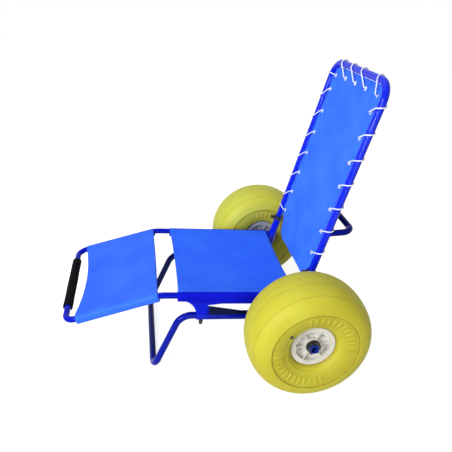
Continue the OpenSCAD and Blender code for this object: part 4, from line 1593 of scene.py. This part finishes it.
    def knot(self, middle: Vector, out: Vector, name: str, finishes: Finishes, trees: Trees) -> Object:
        """Builds a stopper knot with a short tail.

        Args:
            middle: where the cord enters the knot, in the backrest's directions.
            out: direction in which the cord leaves.
            name: the knot's name.
            finishes: the chair's finishes.
            trees: the trees for repeats.

        Returns:
            The knot.
        """
        turn = out.to_track_quat("Z", "Y")
        centre = middle + self.knot_set * out
        loop = []
        for t in spaced(0, math.tau, 96)[:-1]:
            across, up = math.sin(t) + 2 * math.sin(2 * t), math.cos(t) - 2 * math.cos(2 * t)
            loop.append(centre + turn @ (self.knot_size * Vector((across, up, -1.3 * math.sin(3 * t)))))
        tail = []
        for s in spaced(0, 1, 24):
            bent = Vector((0.003 * math.sin(4 * s), -0.006 * s * s, 0.002 + self.tail_length * s))
            tail.append(centre + turn @ bent)
        pieces = []
        for run, closed in ((loop, True), (tail, False)):
            path = path_object(name, [[BACK.at(*p) for p in run]], closed)
            pieces.append(self.corded(path, finishes, trees))
        return joined(pieces)

    def corded(self, path: Object, finishes: Finishes, trees: Trees) -> Object:
        """Sweeps the three-strand cord along a path.

        Args:
            path: the path.
            finishes: the chair's finishes.
            trees: the trees for repeats.

        Returns:
            The cord.
        """
        return grown(
            path, trees.sweep, finishes.cord, Radius=self.cord_r, Lobes=3.0, Lobe_depth=self.lobe_depth,
            Twist=math.tau / self.cord_lay, Spacing=self.cord_step, Ripple=0.0, Ripple_pitch=1.0,
        )

    def build(self, finishes: Finishes, trees: Trees) -> None:
        """Builds the whole laced canvas.

        Args:
            finishes: the chair's finishes.
            trees: the trees for repeats.
        """
        canvas, seams = self.build_canvas(finishes, trees)
        settle(canvas, "backrest", ["back_sling"])
        settle(seams, "backrest")
        settle(self.build_eyelets(finishes, trees), "backrest", ["grommets"])
        way = self.cord_way()
        path = path_object("lacing", [[BACK.at(*p) for p in way]])
        settle(self.corded(path, finishes, trees), "backrest", ["lacing_cord"])
        knots = [
            self.knot(way[0], (way[0] - way[1]).normalized(), "stopper_knots", finishes, trees),
            self.knot(way[-1], Vector((0, 0, -1)), "stopper_knot_left", finishes, trees),
        ]
        settle(joined(knots), "backrest", ["cord_knots"])


@dataclass
class FoamGrip:
    """The foam sleeve on the front crossbar."""

    middle: Triple = (0, -0.541991, 0.283481)
    length: float = 0.316
    outer_r: float = 0.017
    inner_r: float = 0.0113
    edge: float = 0.0028
    held_at: float = 0.085
    held_width: float = 0.035
    held_dent: float = 0.0004
    skin_rise: float = 0.00035
    sides: int = 56

    def rounded_end(self, sign: int, start: float, end: float) -> list[Pair]:
        """Points of one rounded end.

        Args:
            sign: 1 for the end in +X, -1 for the other.
            start: first angle of the arc, in radians.
            end: its last angle.

        Returns:
            Radius and way along X.
        """
        inset = self.length / 2 - self.edge
        shoulder = self.outer_r - self.edge
        return [
            (shoulder + self.edge * math.sin(a), sign * inset + self.edge * math.cos(a))
            for a in spaced(start, end, 5)
        ]

    def worn(self, r: float, x: float, a: float) -> float:
        """Slight dents of a held grip.

        Args:
            r: radius of the point.
            x: way along the grip.
            a: angle round it.

        Returns:
            Change of radius.
        """
        if r < self.outer_r - self.edge:
            return 0.0
        held = self.held_dent * hump(abs(x) - self.held_at, self.held_width)
        return -held + self.skin_rise * noise.noise(Vector((x * 26, 2.2 * math.cos(a), 2.2 * math.sin(a))))

    def build(self, finishes: Finishes) -> None:
        """Builds the grip.

        Args:
            finishes: the chair's finishes.
        """
        half = self.length / 2
        ring: list[Pair] = [(self.inner_r, x) for x in spaced(half, -half, 8)]
        ring += self.rounded_end(-1, math.pi, math.pi / 2)
        ring += [(self.outer_r, x) for x in spaced(-half + self.edge, half - self.edge, 90)[1:-1]]
        ring += self.rounded_end(1, math.pi / 2, 0)
        grip = lathe("foam_grip", ring, self.sides, Vector(self.middle), self.worn)
        grip.data.materials.append(finishes.foam)
        settle(grip, "frame", ["front_grip"])


@dataclass
class BalloonWheel:
    """One balloon wheel: tyre, hub halves, bolts, bushes, valve plug and retaining nut."""

    side: Side
    radius: float = 0.210
    half_width: float = 0.1025
    track: float = 0.768
    ring_r: float = 0.148
    hub_r: float = 0.074
    barrel_r: float = 0.062
    bead_x: float = 0.0644
    bead_gap: float = 0.022
    wall: float = 0.004
    crown_power: float = 2.3
    side_power: float = 2.6
    side_depth: float = 0.086
    hub_gap: float = 0.0003
    bead_seat: float = 0.0001
    sides: int = 176
    crown_lines: tuple[float, ...] = (0.018, 0.070)
    crown_start: float = 0.01
    crown_dip: float = 0.0009
    flank_start: float = 0.09
    lip_in: float = 0.003
    lip_soft: float = 0.0012
    lip_width: float = 0.020
    lip_rise: float = 0.0024
    bead_line_r: float = 0.092
    bead_line_rise: float = 0.0014
    rib_mid: float = 0.120
    rib_span: Pair = (0.106, 0.134)
    rib_half: float = 0.0046
    rib_rise: float = 0.0017
    rib_count: int = 12
    rib_step: float = 9.2
    rib_starts: Pair = (-92.0, 88.0)

    @property
    def middle(self) -> Vector:
        """Middle of the wheel on the axle."""
        return Vector((self.side.value * self.track / 2, AXLE[1], AXLE[2]))

    def wall_point(self, angle: float, inset: float = 0.0) -> Pair:
        """Point of the tyre's section on its positive side.

        Args:
            angle: angle from the widest circle, in degrees.
            inset: distance inside the outer face.

        Returns:
            Radius and way from the middle plane.
        """
        lower = angle < 0
        height = (self.side_depth if lower else self.radius - self.ring_r) - inset
        n = self.side_power if lower else self.crown_power
        up = math.sin(math.radians(angle))
        return self.ring_r + height * up, (self.half_width - inset) * max(1 - abs(up) ** n, 0.0) ** (1 / n)

    def wall_angle(self, r: float, inset: float = 0.0) -> float:
        """Angle of the section in degrees, at a radius inside its widest circle."""
        return math.degrees(math.asin((r - self.ring_r) / (self.side_depth - inset)))

    def wall_at(self, r: float) -> Pair:
        """Radius and way from the middle plane of the tyre's side, at a radius inside its widest circle."""
        return self.wall_point(self.wall_angle(r))

    def relief(self, r: float, x: float) -> float:
        """Height of the moulded lines on the tyre.

        Args:
            r: radius of the point.
            x: way from the middle plane.

        Returns:
            The height.
        """
        height = 0.0
        if abs(x) > self.flank_start or r < self.ring_r:
            lip = self.ring_r - self.lip_in
            fading = 1 - smooth(lip, lip + self.lip_width, r)
            height += self.lip_rise * smooth(lip - self.lip_soft, lip + self.lip_soft, r) * fading
            height += self.bead_line_rise * hump(r - self.bead_line_r, 0.0022)
        if r > self.ring_r + self.crown_start:
            for line in self.crown_lines:
                height -= self.crown_dip * hump(abs(x) - line, 0.0020)
        return height

    def soil(self, r: float, x: float) -> float:
        """Share of grime and painted shade held by the moulded lines: their grooves, under the ring's lip,
        round the hub and over the rib band.

        Args:
            r: radius of the point.
            x: way from the middle plane.

        Returns:
            The share.
        """
        if r < self.ring_r:
            under_lip = 0.95 * hump(r - self.ring_r + 0.0046, 0.0022)
            by_hub = 0.75 * hump(r - self.hub_r - 0.001, 0.005)
            by_ribs = 0.26 * hump(r - self.rib_mid, 0.022, 4)
            return max(under_lip, by_hub, by_ribs)
        if r > self.ring_r + self.crown_start:
            return max(0.34 * hump(abs(x) - line, 0.0018) for line in self.crown_lines)
        return 0.0

    def tyre_ring(self) -> list[Pair]:
        """Closed outline of the tyre's section, moulded lines included.

        Returns:
            Radius and way from the middle plane.
        """
        foot_r, seat_r = self.hub_r + self.hub_gap, self.barrel_r + self.bead_seat
        outer = [self.wall_point(a) for a in spaced(self.wall_angle(foot_r), 0, 70) + spaced(0, 90, 110)[1:]]
        raised = []
        for i, (r, x) in enumerate(outer):
            before, after = outer[max(i - 1, 0)], outer[min(i + 1, len(outer) - 1)]
            dr, dx = after[0] - before[0], after[1] - before[1]
            length = math.hypot(dr, dx)
            lift = self.relief(r, x)
            raised.append((r - lift * dx / length, x + lift * dr / length))
        inner_start = self.wall_angle(self.hub_r + self.wall, self.wall)
        inner = [self.wall_point(a, self.wall) for a in spaced(inner_start, 0, 12) + spaced(0, 90, 12)[1:]]
        half = [(seat_r, self.bead_gap), (seat_r, self.bead_x), (foot_r, self.bead_x)] + raised
        turned = [(self.barrel_r + self.wall, self.bead_gap)] + inner
        outside = half + [(r, -x) for r, x in reversed(half[:-1])]
        inside = [(r, -x) for r, x in turned] + list(reversed(turned[:-1]))
        return outside + inside

    def rib(self, face: int) -> Object:
        """One moulded rib on the tyre's side, drawn at the top of the wheel.

        Args:
            face: 1 for the outer side in +X, -1 for the other.

        Returns:
            The rib.
        """
        half_profile = ((-1.0, -0.4), (-0.8, 0.45), (-0.5, 0.92))
        profile = (*half_profile, (0.0, 1.0), *((-across, up) for across, up in reversed(half_profile)))
        points = []
        stations = spaced(*self.rib_span, 12)
        for i, r in enumerate(stations):
            wall_r, x = self.wall_at(r)
            before, after = self.wall_at(r - 0.001), self.wall_at(r + 0.001)
            slope = Vector((after[1] - before[1], after[0] - before[0])).normalized()
            out = Vector((slope.y, -slope.x))
            lift = self.rib_rise * {0: 0.3, 1: 0.85}.get(min(i, len(stations) - 1 - i), 1.0)
            for across, up in profile:
                raised = x + up * lift * out.x, wall_r + up * lift * out.y
                points.append((face * raised[0], self.rib_half * across, raised[1]))
        n = len(profile)
        faces = [tuple(range(n)), tuple(reversed(range(len(points) - n, len(points))))]
        for i in range(len(stations) - 1):
            for k in range(n):
                a, b = n * i + k, n * i + (k + 1) % n
                faces.append((a, a + n, b + n, b))
        made = mesh_object("rib", points, faces)
        outward_faces(made)
        # Grime and painted shade along the rib's feet.
        hold_grime_and_shade(made, [0.6 if i % n in (0, n - 1) else 0.0 for i in range(len(points))])
        return made

    def build_tyre(self, finishes: Finishes, trees: Trees) -> None:
        """Builds the tyre with two arcs of plain ribs on each side.

        Args:
            finishes: the chair's finishes.
            trees: the trees for repeats.
        """
        word, body, middle = self.side.word, "wheel_" + self.side.word, self.middle
        # Painted light: the far wheel's tyre takes the paler copy of the rubber.
        rubber = finishes.tyre if self.side is Side.LEFT else finishes.faded_tyre
        tyre = lathe("balloon_tyre_" + word, self.tyre_ring(), self.sides, middle)
        tyre.data.materials.append(rubber)
        hold_grime_and_shade(tyre, [
            self.soil(math.hypot(v.co.y - middle.y, v.co.z - middle.z), v.co.x - middle.x)
            for v in tyre.data.vertices
        ])
        settle(tyre, body, ["tyre_" + word])
        arcs = []
        for face in (1, -1):
            for start in self.rib_starts:
                arcs.append(grown(
                    self.rib(face), trees.ring, rubber, Count=self.rib_count, First_angle=math.radians(start),
                    Step_angle=math.radians(self.rib_step), Centre=middle,
                ))
        ribs = joined(arcs)
        ribs.name = "tyre_ribs_" + word
        settle(ribs, body)

    def build(self, finishes: Finishes, trees: Trees) -> None:
        """Builds the wheel.

        Args:
            finishes: the chair's finishes.
            trees: the trees for repeats.
        """
        word = self.side.word
        self.build_tyre(finishes, trees)
        for node, material, slot, edge, body in (
            ("hub_outer_", finishes.hub, Slot.HUB, 0.0007, "wheel_"),
            ("hub_inner_", finishes.inner_hub, Slot.HUB, 0.0007, "wheel_"),
            ("hub_bolts_", finishes.zinc, Slot.ZINC, 0.0003, "wheel_"),
            ("hub_nuts_", finishes.zinc, Slot.ZINC, 0.0003, "wheel_"),
            ("wheel_bushes_", finishes.black, Slot.BLACK, 0.0004, "wheel_"),
            ("valve_plug_", finishes.black, Slot.BLACK, 0.0010, "wheel_"),
            ("axle_nut_", finishes.black, Slot.BLACK, 0.0014, "axle_nut_"),
        ):
            dress(node + word, body + word, material, edge)


@dataclass
class WeldBead:
    """A weld bead between two round tubes."""

    first: Triple
    first_way: Triple
    first_r: float
    second: Triple
    second_way: Triple
    second_r: float
    steps: int = 120
    least_root: float = 1e-9
    least_points: int = 6

    def runs(self) -> list[list[Vector]]:
        """Finds where the first tube's skin leaves the second tube.

        Returns:
            Runs of points along the seam.
        """
        way, other = Vector(self.first_way).normalized(), Vector(self.second_way).normalized()
        side = way.cross(other).normalized()
        up = way.cross(side)
        runs: list[list[Vector]] = [[]]
        for a in spaced(0, math.tau, self.steps):
            start = Vector(self.first) + self.first_r * (math.cos(a) * side + math.sin(a) * up)
            gap = start - Vector(self.second)
            flat = gap - gap.dot(other) * other
            lean = way - way.dot(other) * other
            square, half, rest = lean.dot(lean), flat.dot(lean), flat.dot(flat) - self.second_r**2
            root = half * half - square * rest
            if root < self.least_root:
                if runs[-1]:
                    runs.append([])
                continue
            step = (-half + math.sqrt(root)) / square
            runs[-1].append(start + step * way)
        return [run for run in runs if len(run) >= self.least_points]


@dataclass
class TubeChassis:
    """The painted tubes and plates, their welds, collars, plugs and locking screws."""

    rail_end: Triple = (0.240, 0.281395, 0.258400)
    upright_foot: Triple = (0.226, BACK.origin[1], BACK.origin[2])
    lower_end: Triple = (0.220, 0.266221, 0.162594)
    handle_root: Triple = (0.226, 0.365109, 0.488401)
    rail_r: float = 0.011
    upright_r: float = 0.015
    lower_r: float = 0.016
    axle_r: float = 0.015
    back_r: float = 0.0125
    handle_r: float = 0.011
    plate_edge: float = 0.0006
    bead_r: float = 0.0021
    bead_step: float = 0.0009
    bead_ripple: float = 0.16
    bead_pitch: float = 0.0034

    def beads(self, name: str, body: str, runs: list[list[Vector]], finishes: Finishes, trees: Trees) -> None:
        """Lays painted weld beads.

        Args:
            name: the beads' name.
            body: body that they ride on.
            runs: points along each bead.
            finishes: the chair's finishes.
            trees: the trees for repeats.
        """
        made = grown(
            path_object(name, runs), trees.sweep, finishes.paint, Radius=self.bead_r, Lobes=0.0,
            Lobe_depth=0.0, Twist=0.0, Spacing=self.bead_step, Ripple=self.bead_ripple,
            Ripple_pitch=self.bead_pitch,
        )
        settle(made, body)

    def frame_runs(self) -> list[list[Vector]]:
        """Paths of the chassis welds.

        Returns:
            Points along each bead.
        """
        runs: list[list[Vector]] = []
        for side in Side:
            rail, upright, lower = map(side.place, (self.rail_end, self.upright_foot, self.lower_end))
            runs += WeldBead(rail, FORWARD_UP, self.rail_r, upright, LEAN_UP, self.upright_r).runs()
            runs += WeldBead(upright, LEAN_UP, self.upright_r, lower, FORWARD_UP, self.lower_r).runs()
            runs += WeldBead(upright, LEAN_UP, self.upright_r, AXLE, (1, 0, 0), self.axle_r).runs()
        return runs

    def handle_runs(self) -> list[list[Vector]]:
        """Paths of the rear handle's welds.

        Returns:
            Points along each bead.
        """
        runs: list[list[Vector]] = []
        for side in Side:
            root = side.place(self.handle_root)
            runs += WeldBead(root, HANDLE_BACK, self.handle_r, root, LEAN_UP, self.back_r).runs()
        return runs

    def build(self, finishes: Finishes, trees: Trees) -> None:
        """Dresses the chassis, the backrest's tubes and the front leg.

        Args:
            finishes: the chair's finishes.
            trees: the trees for repeats.
        """
        for nodes, body, finish, edge in (
            (("upright_left", "upright_right"), "frame", finishes.paint, 0.0),
            (("seat_frame",), "frame", finishes.rail_paint, 0.0),
            (("lower_tube_left", "lower_tube_right"), "frame", finishes.lower_paint, 0.0),
            (("leg_lock_bosses",), "frame", finishes.boss_paint, 0.0),
            (("axle_tube", "axle_stops"), "frame", finishes.axle_paint, 0.0),
            (("gusset_left", "gusset_right"), "frame", finishes.plate_paint, self.plate_edge),
            (("back_frame",), "backrest", finishes.paint, 0.0),
            (("rear_handle",), "backrest", finishes.deep_paint, 0.0),
            (("front_leg",), "front_leg", finishes.leg_paint, 0.0),
        ):
            for node in nodes:
                dress(node, body, finish, round_edge=edge)
        dress("tube_plugs", "frame", finishes.black, self.plate_edge)
        for side in Side:
            dress("back_lock_collar_" + side.word, "frame", finishes.collar)
            for lock in ("back_lock_", "leg_lock_"):
                dress(lock + side.word, lock + side.word, finishes.black)
        self.beads("chassis_welds", "frame", self.frame_runs(), finishes, trees)
        self.beads("handle_welds", "backrest", self.handle_runs(), finishes, trees)


@dataclass(frozen=True)
class Panel:
    """One soft light panel."""

    name: str
    place: Triple
    target: Triple
    width: float
    power: float
    height: float = 0.0

    def hang(self) -> None:
        """Hangs the panel, square where it has no height of its own."""
        data = bpy.data.lights.new(self.name, "AREA")
        data.size = self.width
        if self.height:
            data.shape = "RECTANGLE"
            data.size_y = self.height
        data.energy = self.power
        made = linked(self.name, data)
        made.location = self.place
        made.rotation_euler = (Vector(self.target) - Vector(self.place)).to_track_quat("-Z", "Y").to_euler()


@dataclass
class Studio:
    """Camera, floor and soft light."""

    camera_at: Triple = (1.6462, -0.1721, 1.3004)
    look_at: Triple = (0.0, 0.0507, 0.4454)
    roll: float = -3.22
    lens: float = 39.6
    sensor: float = 36.0
    floor_size: float = 80.0
    floor_grey: Shade = (0.55, 0.55, 0.55, 1)
    floor_glow: float = 0.8
    floor_bounce: Shade = (0.46, 0.44, 0.38, 1)
    ambient: Shade = (1, 0.95, 0.87, 1)
    ambient_strength: float = 0.38
    white: Shade = (1, 1, 1, 1)
    panels: tuple[Panel, ...] = (
        Panel("Key", (1.95, -1.877, 1.75), (0, 0.05, 0.4), width=0.7, power=82, height=1.3),
        Panel("Sky", (-0.6, -0.422, 4.04), (0, 0.05, 0.4), width=3.0, power=40),
        Panel("Fill", (2.5, 0.05, 0.4), (0.4, 0.2, 0.25), width=1.4, power=18),
    )

    def build(self) -> None:
        """Builds the studio."""
        scene = bpy.context.scene
        scene.view_settings.view_transform = "Standard"
        scene.view_settings.look = "None"
        self.set_camera()
        half = self.floor_size / 2
        corners = [(-half, -half, 0), (half, -half, 0), (half, half, 0), (-half, half, 0)]
        floor = mesh_object("floor", corners, [(0, 1, 2, 3)])
        floor.data.materials.append(self.pale_floor())
        for panel in self.panels:
            panel.hang()
        self.surround()

    def set_camera(self) -> None:
        """Sets the camera up where the photograph was taken from."""
        data = bpy.data.cameras.new("Camera")
        data.lens = self.lens
        data.sensor_width = self.sensor
        data.dof.use_dof = False
        camera = linked("Camera", data)
        camera.location = self.camera_at
        look = (Vector(self.look_at) - camera.location).to_track_quat("-Z", "Y").to_matrix()
        camera.rotation_euler = (look @ Matrix.Rotation(math.radians(self.roll), 3, "Z")).to_euler()
        bpy.context.scene.camera = camera

    def pale_floor(self) -> Material:
        """Builds a floor that looks white, keeps the shadow and throws little light back.

        Returns:
            The material.
        """
        material = bpy.data.materials.new("Pale floor")
        material.use_nodes = True
        made = NodeBuilder(material.node_tree)
        material.node_tree.nodes.clear()
        shadowed = made.out("ShaderNodeBsdfDiffuse", {"Color": self.floor_grey})
        lit = made.out("ShaderNodeEmission", {"Color": self.white, "Strength": self.floor_glow})
        white = made.out("ShaderNodeAddShader", {0: shadowed, 1: lit})
        dull = made.out("ShaderNodeBsdfDiffuse", {"Color": self.floor_bounce})
        both = made.out("ShaderNodeMixShader", {0: made.backdrop_rays(), 1: dull, 2: white})
        made.node("ShaderNodeOutputMaterial", {"Surface": both})
        return material

    def surround(self) -> None:
        """Sets an even surround that lights the chair softly and looks plain white."""
        world = bpy.data.worlds.new("Surround")
        world.use_nodes = True
        bpy.context.scene.world = world
        made = NodeBuilder(world.node_tree)
        world.node_tree.nodes.clear()
        soft = made.out("ShaderNodeBackground", {"Color": self.ambient, "Strength": self.ambient_strength})
        white = made.out("ShaderNodeBackground", {"Color": self.white, "Strength": 1.0})
        both = made.out("ShaderNodeMixShader", {0: made.backdrop_rays(), 1: soft, 2: white})
        made.node("ShaderNodeOutputWorld", {"Surface": both})


def main() -> None:
    """Builds the chair's looks piece by piece."""
    logging.basicConfig(level=logging.INFO, format="%(message)s")
    finishes, trees = Finishes(), Trees()
    TubeChassis().build(finishes, trees)
    SleevedSling(
        "leg_canvas", LEG_REST, length=0.284, sag=0.012, scoop=0.016, canvas=finishes.leg_canvas, hem=0.030
    ).build(finishes, trees, "leg_sling")
    SleevedSling(
        "seat_canvas", SEAT, length=0.420, sag=0.016, scoop=0.006, canvas=finishes.seat_canvas,
        slot_span=(0.015, 0.169), slack=0.0095, sleeve_canvas=finishes.sleeve_canvas, droop=0.010,
    ).build(finishes, trees, "seat_sling")
    LacedBack().build(finishes, trees)
    FoamGrip().build(finishes)
    for side in Side:
        BalloonWheel(side).build(finishes, trees)
    Studio().build()


if __name__ == "__main__":
    main()
